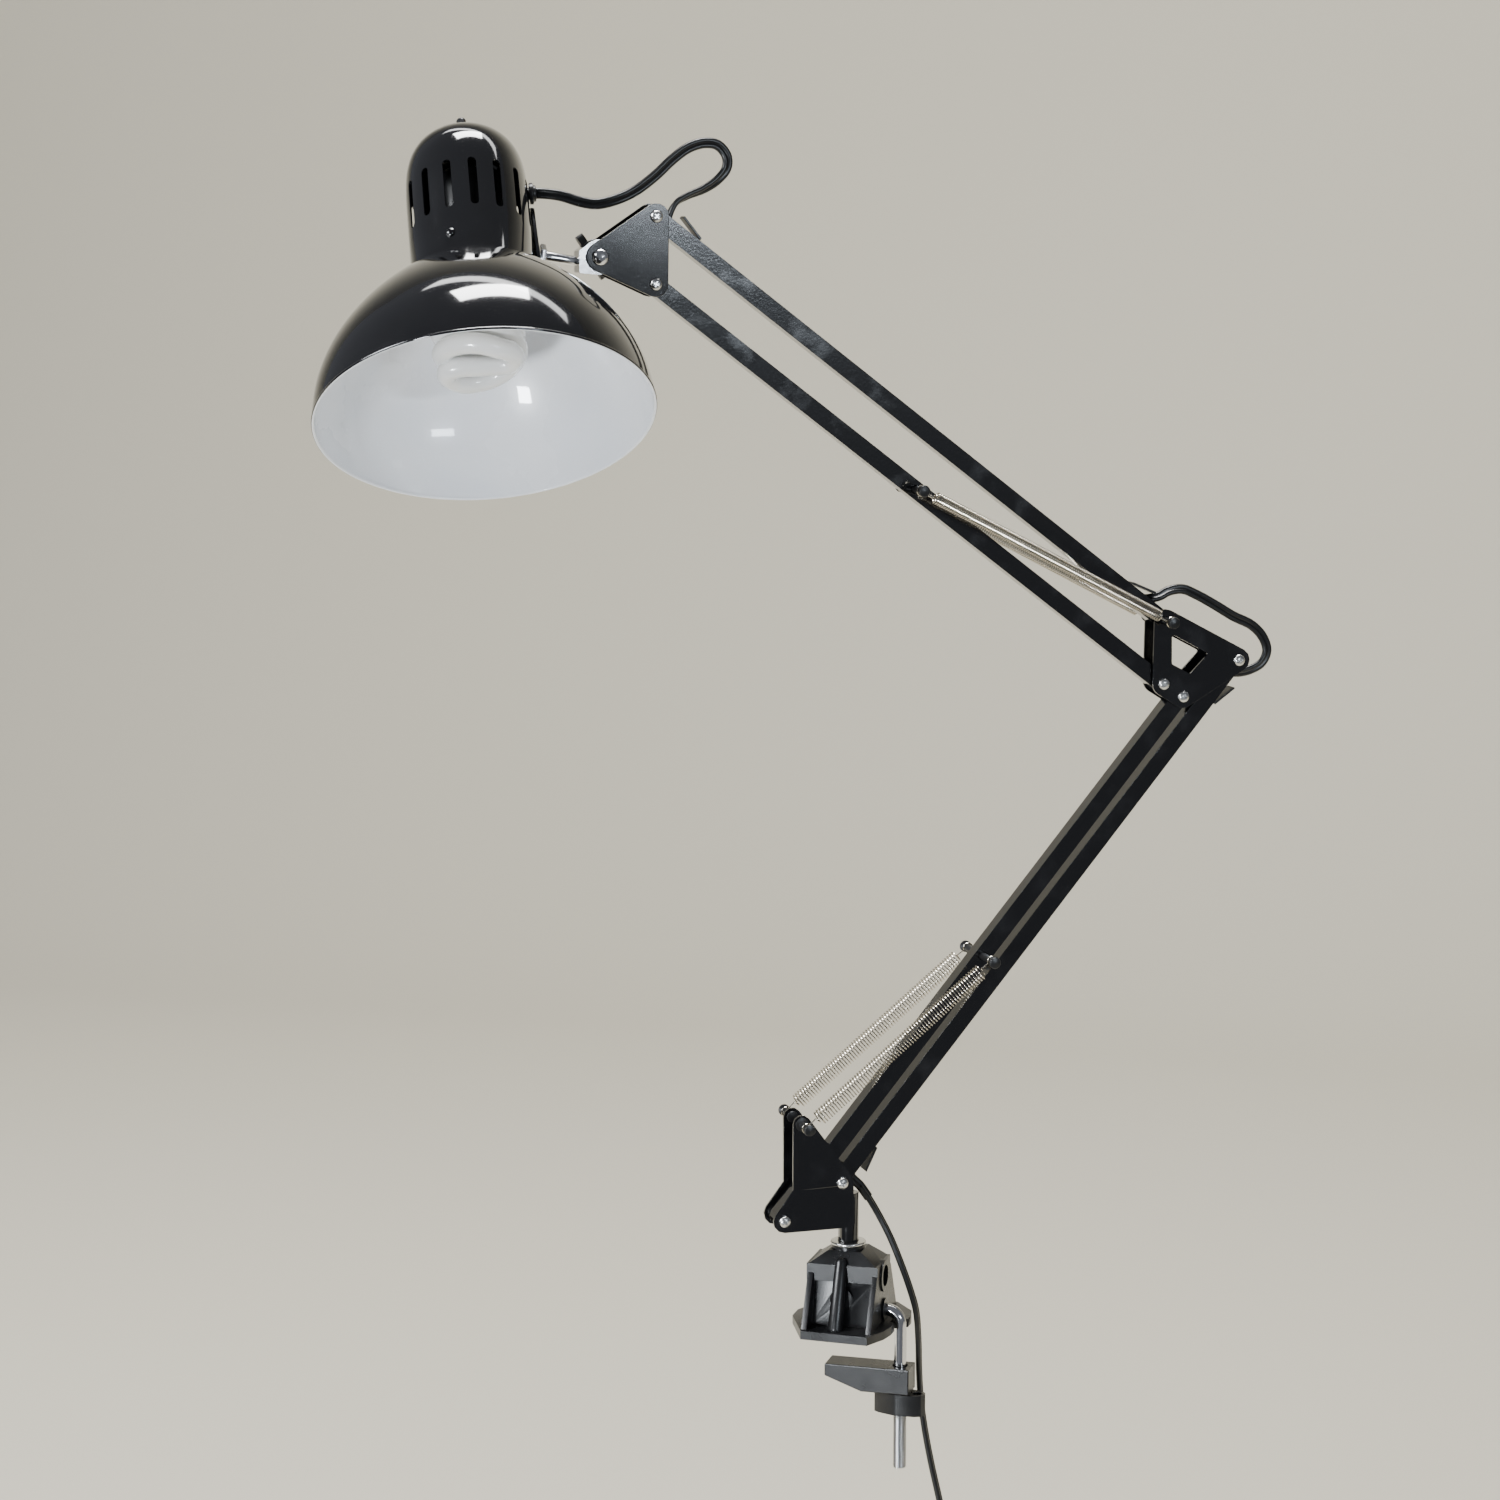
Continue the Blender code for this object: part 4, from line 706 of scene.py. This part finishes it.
# ---- screws, bolts and pegs -------------------------------------------------------------------
def carve(obj, cutter):
    """obj with the cutter's shape taken out of it; the cutter goes away."""
    change = obj.modifiers.new("carve", "BOOLEAN")
    change.object = cutter
    change.operation = "DIFFERENCE"
    change.solver = "EXACT"
    bpy.context.view_layer.update()
    made = bpy.data.meshes.new_from_object(obj.evaluated_get(bpy.context.evaluated_depsgraph_get()))
    old = obj.data
    obj.modifiers.clear()
    obj.data = made
    bpy.data.meshes.remove(old)
    bpy.data.objects.remove(cutter)
    obj.data.shade_smooth()
    obj.data.set_sharp_from_angle(angle=math.radians(35))
    return obj


def block(centre, first, second, third, sizes):
    """Closed block from its centre, three directions and its three full sizes."""
    first, second, third = (np.asarray(d, float) for d in (first, second, third))
    corners = np.array([(-1, -1), (1, -1), (1, 1), (-1, 1)]) / 2
    rows = []
    for level in (-0.5, 0.5):
        rows.append([np.asarray(centre, float) + c[0] * sizes[0] * first + c[1] * sizes[1] * second
                     + level * sizes[2] * third for c in corners])
    return np.array(rows)


def cross_recess(obj, tip, direction, width, depth, turn=0.4):
    """Cross-shaped driver recess cut into a screw's head."""
    first, second = axes_for(direction)
    first, second = (math.cos(turn) * first + math.sin(turn) * second,
                     math.cos(turn) * second - math.sin(turn) * first)
    for a, b in ((first, second), (second, first)):
        shape = Shape().grid(block(tip, a, b, np.cross(a, b), (width, width * 0.28, depth * 2)))
        carve(obj, shape.make("recess_cutter", 0))
    return obj


def pivot_screws():
    """Pan-head screw, collars, nut and thread end at each pivot, turned about the pivot's axis."""
    places = [("base_bolt_front", BASE_FRONT, YOKE_HALF, "yoke"),
              ("base_bolt_rear", BASE_REAR, YOKE_HALF, "yoke"),
              ("elbow_bolt_low", ELBOW_LOW, LINK_HALF, "elbow"),
              ("elbow_bolt_front", ELBOW_FRONT, LINK_HALF, "elbow"),
              ("elbow_bolt_rear", ELBOW_REAR, LINK_HALF, "elbow"),
              ("head_bolt_low", HEAD_LOW, LINK_HALF, "head"),
              ("head_bolt_high", HEAD_HIGH, LINK_HALF, "head")]
    for k, (name, place, half, body) in enumerate(places):
        inner = half - PLATE
        head = [(0.0, half + 0.0025), (0.0012, half + 0.00245), (0.0024, half + 0.0021),
                (0.0032, half + 0.0014), (0.0035, half + 0.0007), (0.0034, half + 0.0001),
                (0.0019, half + 0.0001)]
        tube_half = TUBE / 2
        middle = [(0.0019, inner - 0.0002), (0.0038, inner - 0.0003), (0.0038, tube_half + 0.0003),
                  (0.0019, tube_half + 0.0002), (0.0019, -tube_half - 0.0002),
                  (0.0038, -tube_half - 0.0003), (0.0038, -inner + 0.0003), (0.0019, -inner + 0.0002),
                  (0.0019, -half - 0.0036), (0.0015, -half - 0.0042), (0.0, -half - 0.0042)]
        shape = Shape().grid(lathe((head + middle)[::-1], arm(*place), ACROSS, 40))
        screw = cross_recess(shape.make(f"{name}_screw"), arm(*place, half + 0.0025), ACROSS, 0.0036,
                             0.0011, 0.4 + 1.1 * k)
        dress(screw, ZINC, body, [name])
        nut = [(0.0021, -half - 0.0031), (0.0030, -half - 0.0031), (0.0036, -half - 0.0027),
               (0.0036, -half - 0.0004), (0.0032, -half - 0.0001), (0.0021, -half - 0.0001)]
        shape = Shape().grid(lathe(nut, arm(*place), ACROSS, 48, hexagon), caps=False, closed=True)
        dress(shape.make(f"{name}_nut"), ZINC, body)


def turned_piece(name, profile, place, direction, material, body, nodes=(), sides=40,
                 bevel=0.0003, outline=None):
    """Turned piece whose profile runs from its low end on the axis to its high end."""
    grid = lathe(rounded(profile, bevel), place, direction, sides, outline)
    shape = Shape().grid(grid, caps=profile[0][0] < 1e-6 and profile[-1][0] < 1e-6,
                         closed=profile[0][0] > 1e-6)
    return dress(shape.make(name), material, body, nodes)


def pegs():
    """Spring pegs with mushroom heads: through the tubes and at the elbow, and two base studs."""
    kinds = [("lower_spring_peg", LOWER_PEG, 0.0272, 0.0, "lower_front_arm"),
             ("upper_spring_peg", UPPER_PEG, 0.0225, 0.0, "upper_bottom_arm"),
             ("elbow_spring_peg", ELBOW_HIGH, 0.0225, LINK_HALF - PLATE, "elbow")]
    for name, place, reach, collar, body in kinds:
        side = [(0.0, reach), (0.0031, reach - 0.0003), (0.0034, reach - 0.0010),
                (0.0034, reach - 0.0022), (0.0021, reach - 0.0026)]
        if collar:
            side += [(0.0021, collar - 0.0003), (0.0039, collar - 0.0003),
                     (0.0039, TUBE / 2 + 0.0003), (0.0021, TUBE / 2 + 0.0003)]
        profile = [(r, -h) for r, h in side] + side[::-1]
        turned_piece(name + "_pin", profile, arm(*place), ACROSS, SOFT_PLASTIC,
                     body, [name], 36, 0.0002)
    for label, side in (("near", 1), ("far", -1)):
        inner = YOKE_HALF - PLATE
        profile = [(0.0, inner - 0.0012), (0.0032, inner - 0.0010), (0.0034, inner - 0.0003),
                   (0.0021, inner - 0.0003), (0.0021, YOKE_HALF + 0.0003),
                   (0.0039, YOKE_HALF + 0.0003), (0.0039, YOKE_HALF + 0.0014),
                   (0.0021, YOKE_HALF + 0.0014), (0.0021, 0.0246), (0.0034, 0.0250),
                   (0.0034, 0.0262), (0.0031, 0.0269), (0.0, 0.0272)]
        turned_piece(f"base_stud_pin_{label}", profile, arm(*BASE_STUD), side * ACROSS, SOFT_PLASTIC,
                     "yoke", [f"base_spring_stud_{label}"], 36, 0.0002)


# ---- plates, tubes and mouldings finished from the frame --------------------------------------
def softened(node, width, material, segments=2):
    """The node's own shape as one clean mesh: doubles merged, flat faces joined, and every edge
    sharper than a third of a right angle rounded to the width."""
    source = frame["nodes"][node]
    mesh = source.data.copy()
    obj = bpy.data.objects.new(node + "_finished", mesh)
    mesh.materials.clear()
    bpy.context.scene.collection.objects.link(obj)
    work = bmesh.new()
    work.from_mesh(mesh)
    bmesh.ops.remove_doubles(work, verts=work.verts, dist=0.00001)
    bmesh.ops.dissolve_limit(work, angle_limit=math.radians(0.6), verts=work.verts,
                             edges=work.edges)
    work.to_mesh(mesh)
    work.free()
    mesh.shade_smooth()
    mesh.set_sharp_from_angle(angle=math.radians(30))
    bevel = obj.modifiers.new("round", "BEVEL")
    bevel.width = width
    bevel.segments = segments
    bevel.limit_method = "ANGLE"
    bevel.angle_limit = math.radians(32)
    bevel.harden_normals = True
    return dress(obj, material, BODY_OF[node], [node])


def arms_and_links():
    """Tubes, plates, hoods, head pieces and clamp castings, each with its edge width."""
    tubes = ("lower_front_tube", "lower_rear_tube", "upper_bottom_tube", "upper_top_tube")
    plates = ("yoke_near_plate", "yoke_far_plate", "elbow_near_plate", "elbow_far_plate")
    hoods = ("hood_base", "hood_elbow_low", "hood_elbow_high", "hood_head")
    kinds = [(tubes, 0.0007, ARM_PAINT, "black_satin_paint", 3),
             (plates, 0.00045, ARM_PAINT, "black_satin_paint", 2),
             (("head_near_plate", "head_far_plate"), 0.00045, BLACK_ENAMEL, "black_gloss_paint", 2),
             (hoods, 0.0003, NYLON, "black_plastic", 2),
             (("swivel_stem",), 0.0003, ARM_PAINT, "black_satin_paint", 2),
             (("tilt_clevis",), 0.0004, CHROME, "chrome", 2),
             (("tilt_wing_nut",), 0.0005, NYLON, "black_plastic", 2),
             (("shade_strap",), 0.0004, ARM_PAINT, "black_satin_paint", 2),
             (("clamp_body",), 0.0008, NYLON, "black_plastic", 2),
             (("lower_jaw", "clamp_wing_nut"), 0.0010, NYLON, "black_plastic", 3)]
    for nodes, width, material, slot, segments in kinds:
        for node in nodes:
            softened(node, width, material, segments)


def head_fasteners():
    """Dome-headed tilt bolt, the swivel rod with its shoulder and rivet, and its nut."""
    bolt = [(0.0, -0.0197), (0.0020, -0.0196), (0.0028, -0.0188), (0.0028, LINK_HALF + 0.0002),
            (0.0047, LINK_HALF + 0.0002), (0.0047, LINK_HALF + 0.0009), (0.0043, LINK_HALF + 0.0018),
            (0.0034, LINK_HALF + 0.0028), (0.0020, LINK_HALF + 0.0035), (0.0, LINK_HALF + 0.0037)]
    turned_piece("tilt_bolt_dome", bolt, arm(*TILT), ACROSS, CHROME, "head", ["tilt_bolt"])
    rod = [(0.0, -0.0046), (0.0024, -0.0045), (0.0034, -0.0039), (0.0034, -0.0034), (0.0021, -0.0034),
           (0.0021, 0.0012), (0.00275, 0.0012), (0.00275, 0.0222), (0.0, 0.0222)]
    place = arm(*ROD_START)
    turned_piece("swivel_rod_turned", rod, place, ROD_DIRECTION, CHROME, "shade",
                 ["swivel_rod"])
    nut = [(0.0030, 0.0182), (0.0054, 0.0182), (0.0062, 0.0187), (0.0062, 0.0214), (0.0054, 0.0218),
           (0.0030, 0.0218)]
    turned_piece("rod_hex_nut", nut, place, ROD_DIRECTION, CHROME, "shade", ["rod_nut"],
                 48, 0.0002, hexagon)


# ---- shade and bulb ---------------------------------------------------------------------------
def cap_radius(height):
    """Straight wall, then a dome: the root of one less the fifth power of the share of the rise."""
    share = np.clip((height - CAP_STRAIGHT) / (CAP_TOP - CAP_STRAIGHT), 0, 1)
    return NECK_R * np.sqrt(1.0 - share ** 5.0)


def bowl_radius(height):
    """Bell: a quarter sine of the share of the drop, drawn out a little by its power."""
    share = (NECK_H - height) / (NECK_H - MOUTH_H)
    return NECK_R + (MOUTH_R - NECK_R) * np.sin(np.pi / 2 * share ** 0.82)


def inner_of(profile, sheet):
    """Profile moved inwards by the sheet's thickness along its own normals."""
    tangent = np.gradient(profile, axis=0)
    normal = np.stack([-tangent[:, 1], tangent[:, 0]], -1)
    normal = normal / np.linalg.norm(normal, axis=1, keepdims=True)
    moved = profile + normal * sheet
    moved[:, 0] = np.maximum(moved[:, 0], 0.0002)
    return moved


def vent_cutter(turn):
    """Upright slot with round ends: a stadium pushed through the cap's wall."""
    half = 0.0023
    low, high = 0.0065 + half, 0.0365 - half
    arc = np.linspace(0, np.pi, 9)
    rise = np.stack([half * np.cos(arc), high + half * np.sin(arc)], -1)
    fall = np.stack([-half * np.cos(arc), low - half * np.sin(arc)], -1)
    outline = np.vstack([rise, fall])
    aim = np.cos(turn) * SHADE_OUT + np.sin(turn) * SHADE_SIDE
    beside_it = np.cross(SHADE_UP, aim)
    rows = []
    for reach in (NECK_R - 0.006, NECK_R + 0.006):
        rows.append(SHADE_AT + reach * aim + outline[:, :1] * beside_it + outline[:, 1:] * SHADE_UP)
    return np.array(rows)


def vented_cap():
    """Cap with a dome and a ring of slots, one place in fifteen left whole for the cord."""
    rise = np.linspace(0, 1, 28)
    height = CAP_STRAIGHT + (CAP_TOP - CAP_STRAIGHT) * np.sin(np.pi / 2 * rise)
    outer = np.vstack([[(NECK_R + 0.0002, NECK_H + 0.0003), (NECK_R, NECK_H + 0.0012), (NECK_R, 0.0)],
                       np.stack([cap_radius(height), height], -1)])
    outer = outer[outer[:, 0] > 0.0035]
    outer = np.vstack([outer, [(0.0032, CAP_TOP)]])
    inner = inner_of(outer, SHEET)
    inner[0, 1] = outer[0, 1]
    grid = lathe(np.vstack([outer, inner[::-1]]), SHADE_AT, SHADE_UP, 120)
    cap = Shape().grid(grid, closed=True).make("vented_cap")
    cutters = Shape()
    first = math.radians(-97)
    for k in range(14):
        cutters.grid(vent_cutter(first + 2 * np.pi * (k if k < 4 else k + 1) / 15))
    carve(cap, cutters.make("vent_cutters", 0))
    dress(cap, BLACK_ENAMEL, "shade", ["shade_cap"])


def bell_bowl():
    """Bowl, black outside and white inside, with a rolled bead round its mouth."""
    share = np.linspace(0, 1, 44) ** 1.6
    height = NECK_H + (MOUTH_H + 0.0008 - NECK_H) * share
    wall = np.stack([bowl_radius(height), height], -1)
    wall = np.vstack([[(0.0265, NECK_H - 0.0002), (0.0310, NECK_H)], wall])
    inside = inner_of(wall[::-1], SHEET)[::-1]
    bead = np.radians(np.linspace(-60, 190, 9))
    centre = np.array((MOUTH_R - 0.0003, MOUTH_H + 0.0006))
    lip = centre + 0.0009 * np.stack([np.cos(-bead), np.sin(-bead)], -1)
    profile = np.vstack([inside, lip[::-1], wall[::-1]])
    kinds = [1] * (len(inside) + 4) + [0] * (len(profile) - len(inside) - 4)
    grid = lathe(profile, SHADE_AT, SHADE_UP, 128)
    bowl = Shape().grid(grid, closed=True, kind=kinds).make("bell_bowl")
    dress(bowl, BLACK_ENAMEL, "shade", ["shade_bowl"], [WHITE_ENAMEL])


def cap_fittings():
    """Screw and cord bush through the cap's wall, and the push button with its collar on top."""
    turn = math.radians(-122)
    across = np.cos(turn) * SHADE_OUT + np.sin(turn) * SHADE_SIDE
    screw = [(0.0, NECK_R - 0.0040), (0.0011, NECK_R - 0.0038), (0.0011, NECK_R + 0.0003),
             (0.0024, NECK_R + 0.0003), (0.0023, NECK_R + 0.0009), (0.0014, NECK_R + 0.0015),
             (0.0, NECK_R + 0.0017)]
    turned_piece("cap_screw_turned", screw, SHADE_AT - 0.0095 * SHADE_UP, across, ARM_PAINT,
                 "shade", ["cap_screw"], 24, 0.0001)
    across = np.cos(RELIEF_TURN) * SHADE_OUT + np.sin(RELIEF_TURN) * SHADE_SIDE
    bush = [(0.0032, NECK_R - 0.0050), (0.0033, NECK_R + 0.0003), (0.0058, NECK_R + 0.0004),
            (0.0060, NECK_R + 0.0024), (0.0046, NECK_R + 0.0028), (0.0044, NECK_R + 0.0040),
            (0.0031, NECK_R + 0.0042), (0.0025, NECK_R + 0.0042), (0.0025, NECK_R - 0.0050)]
    turned_piece("strain_bush", bush, SHADE_AT + RELIEF_H * SHADE_UP, across, SOFT_PLASTIC,
                 "shade", ["strain_relief"], 36, 0.0003)
    button = [(0.0, 0.0484), (0.0027, 0.0485), (0.0027, 0.0818), (0.0023, 0.0827), (0.0012, 0.0830),
              (0.0, 0.0830)]
    turned_piece("push_button", button, SHADE_AT, SHADE_UP, NYLON, "button",
                 ["switch_button"], 32, 0.0002)
    collar = [(0.0031, 0.0735), (0.0050, 0.0735), (0.0052, 0.0745), (0.0047, 0.0756),
              (0.0031, 0.0758)]
    turned_piece("button_collar", collar, SHADE_AT, SHADE_UP, NYLON, "shade", (), 32,
                 0.0002)


def bulb():
    """Holder and a compact fluorescent bulb: threaded cap, ballast and two tube legs that
    spiral down half a turn apart and meet in an arch across the tip."""
    holder = [(0.0140, -0.0050), (0.0185, -0.0050), (0.0185, 0.0400), (0.0165, 0.0430),
              (0.0030, 0.0438), (0.0030, 0.0230), (0.0140, 0.0230)]
    turned_piece("holder_shell", holder, SHADE_AT, SHADE_UP, NYLON, "shade",
                 ["lamp_holder"], 48)
    ballast = [(0.0, -0.0345), (0.0208, -0.0343), (0.0222, -0.0322), (0.0222, -0.0160),
               (0.0198, -0.0136), (0.0150, -0.0105), (0.0133, -0.0080), (0.0133, 0.0120),
               (0.0128, 0.0135), (0.0045, 0.0165), (0.0, 0.0170)]
    turned_piece("bulb_ballast", ballast, SHADE_AT, SHADE_UP, LAMP_PLASTIC, "shade",
                 ["bulb_base"], 64, 0.0012)
    radius, tube = 0.0200, 0.0058
    top, tip = -0.0425, -0.0742
    turn = np.radians(np.arange(-510, -59, 15))
    fall = (turn - turn[0]) / (turn[-1] - turn[0])
    leg = np.stack([radius * np.cos(turn), radius * np.sin(turn), top + (tip - top) * fall], -1)
    riser = leg[0] + np.array([(0.0, 0.0, 0.0095), (-0.0010, 0.0006, 0.0045)])
    hook = np.array([(0.0158, -0.0128, tip), (0.0186, -0.0068, tip), (0.0166, -0.0012, tip),
                     (0.0110, 0.0008, tip), (0.0050, 0.0004, tip)])
    half = np.vstack([riser, leg[1:], hook])
    other = half[::-1] * np.array((-1.0, -1.0, 1.0))
    route = smooth_route(np.vstack([half, other]), 0.0012)
    aim = math.radians(-16)
    first = math.cos(aim) * SHADE_OUT + math.sin(aim) * SHADE_SIDE
    second = math.cos(aim) * SHADE_SIDE - math.sin(aim) * SHADE_OUT
    place = SHADE_AT + route[:, :1] * first + route[:, 1:2] * second + route[:, 2:] * SHADE_UP
    glass = Shape().grid(round_wire(place, tube, 24)).make("spiral_tube")
    dress(glass, GLASS, "shade", ["bulb_spiral"])


# ---- clamp bolt -------------------------------------------------------------------------------
def clamp_bolt():
    """J-bolt: plain bent shank, and below it a thread whose ridge climbs one pitch a turn."""
    x = 0.0314
    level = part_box("clamp_bolt")[1][2] - 0.0036
    bend = 0.0080
    thread_top, thread_end = -0.0330, -0.0836
    turn = np.linspace(np.pi / 2, 0, 20)
    path = [(0.0040, 0.0, level)]
    path += [(x - bend + bend * np.cos(a), 0.0, level - bend + bend * np.sin(a)) for a in turn]
    path += [(x, 0.0, thread_top - 0.0001)]
    shape = Shape().grid(round_wire(even(np.array(path), 0.0012), 0.0036, 32))
    pitch = 0.00125
    height = np.arange(thread_end, thread_top, pitch / 8)[:, None]
    round_it = np.linspace(0, 2 * np.pi, 32, endpoint=False)[None, :]
    phase = (height / pitch - round_it / (2 * np.pi)) % 1.0
    depth = np.clip(np.abs(phase - 0.5) * 2.4 - 0.15, 0, 1)
    fade = np.clip(np.minimum(height - thread_end, thread_top - height) / 0.001, 0, 1)
    radius = 0.0032 + 0.00078 * depth * fade
    shape.grid(np.stack([x + radius * np.cos(round_it), radius * np.sin(round_it),
                         np.broadcast_to(height, radius.shape)], -1))
    dress(shape.make("j_bolt"), CHROME, "clamp", ["clamp_bolt"])


def collar_ring():
    """Pale washer that the yoke turns on, on top of the clamp's collar."""
    profile = [(0.0062, 0.0491), (0.0100, 0.0491), (0.0104, 0.0496), (0.0104, 0.0506),
               (0.0100, 0.0511), (0.0062, 0.0511)]
    turned_piece("swivel_washer", profile, (0, 0, 0), UP, ZINC, "clamp", (), 48, 0.0002)


def clamp_columns():
    """Round column down the middle of each long face of the clamp's foot."""
    for label, side in (("near", -1), ("far", 1)):
        top = np.array((-0.0005, side * 0.0128, 0.0440))
        foot = np.array((-0.0005, side * 0.0292, 0.0042))
        length = np.linalg.norm(top - foot)
        profile = [(0.0, 0.0), (0.0043, 0.0), (0.0036, length - 0.0020), (0.0020, length),
                   (0.0, length)]
        turned_piece(f"clamp_column_{label}", profile, foot, top - foot, NYLON, "clamp",
                     (), 40, 0.0012)


springs()
pivot_screws()
clamp_columns()
pegs()
arms_and_links()
head_fasteners()
vented_cap()
bell_bowl()
cap_fittings()
bulb()
clamp_bolt()
collar_ring()

# ---- what is left of the frame's own nodes ----------------------------------------------------
for node, material in (("holder_bracket", ZINC), ("lower_cord", JACKET), ("upper_cord", JACKET)):
    frame["nodes"][node].data.materials.clear()
    frame["nodes"][node].data.materials.append(material)


# ---- floor and light --------------------------------------------------------------------------
def backdrop():
    """Pale floor that starts a little in front of the lamp and curves up into a wall behind it."""
    coat = Coat("warm_backdrop", (0.56, 0.52, 0.42), 0.9)
    front, back, level, cove, top = -0.50, 2.2, -0.335, 1.2, 6.0
    across = np.array((-6.0, 6.0))
    fall = np.linspace(0, np.pi / 2, 16)
    profile = [(front, level), (back, level)]
    profile += [(back + cove * math.sin(a), level + cove * (1 - math.cos(a))) for a in fall[1:]]
    profile += [(3.4, top)]
    points = [(x, y, z) for y, z in profile for x in across]
    faces = [(2 * k, 2 * k + 1, 2 * k + 3, 2 * k + 2) for k in range(len(profile) - 1)]
    floor = mesh_object("backdrop", points, faces)
    floor.data.materials.append(coat.material)


def soft_light(name, place, aim, size, power, colour=(1.0, 1.0, 1.0)):
    """Rectangular area light at a place, turned to face its aim."""
    data = bpy.data.lights.new(name, "AREA")
    data.shape = "RECTANGLE"
    data.size, data.size_y = size
    data.energy = power
    data.color = colour
    light = bpy.data.objects.new(name, data)
    light.location = place
    light.rotation_euler = (Vector(aim) - Vector(place)).to_track_quat("-Z", "Y").to_euler()
    bpy.context.scene.collection.objects.link(light)


backdrop()
world = bpy.data.worlds.new("room")
world.use_nodes = True
world.node_tree.nodes["Background"].inputs[0].default_value = (0.86, 0.90, 1.0, 1.0)
world.node_tree.nodes["Background"].inputs[1].default_value = 0.16
bpy.context.scene.world = world
middle = (0.0, 0.0, 0.35)
soft_light("window_left", (-2.4, -1.9, 1.7), middle, (1.3, 1.5), 170, (0.93, 0.96, 1.0))
soft_light("window_right", (2.6, -2.5, 0.86), (0.0, 0.0, 0.55), (1.0, 0.30), 34, (0.82, 0.91, 1.0))
soft_light("ceiling", (-0.2, 0.3, 2.6), middle, (1.2, 0.5), 85)
soft_light("wall_wash", (0.0, 0.9, 2.9), (0.0, 3.2, 0.6), (3.0, 0.8), 60)
soft_light("front_low", (-0.5, -2.4, -0.15), (-0.2, 0.0, 0.5), (0.35, 0.35), 46, (0.90, 0.95, 1.0))
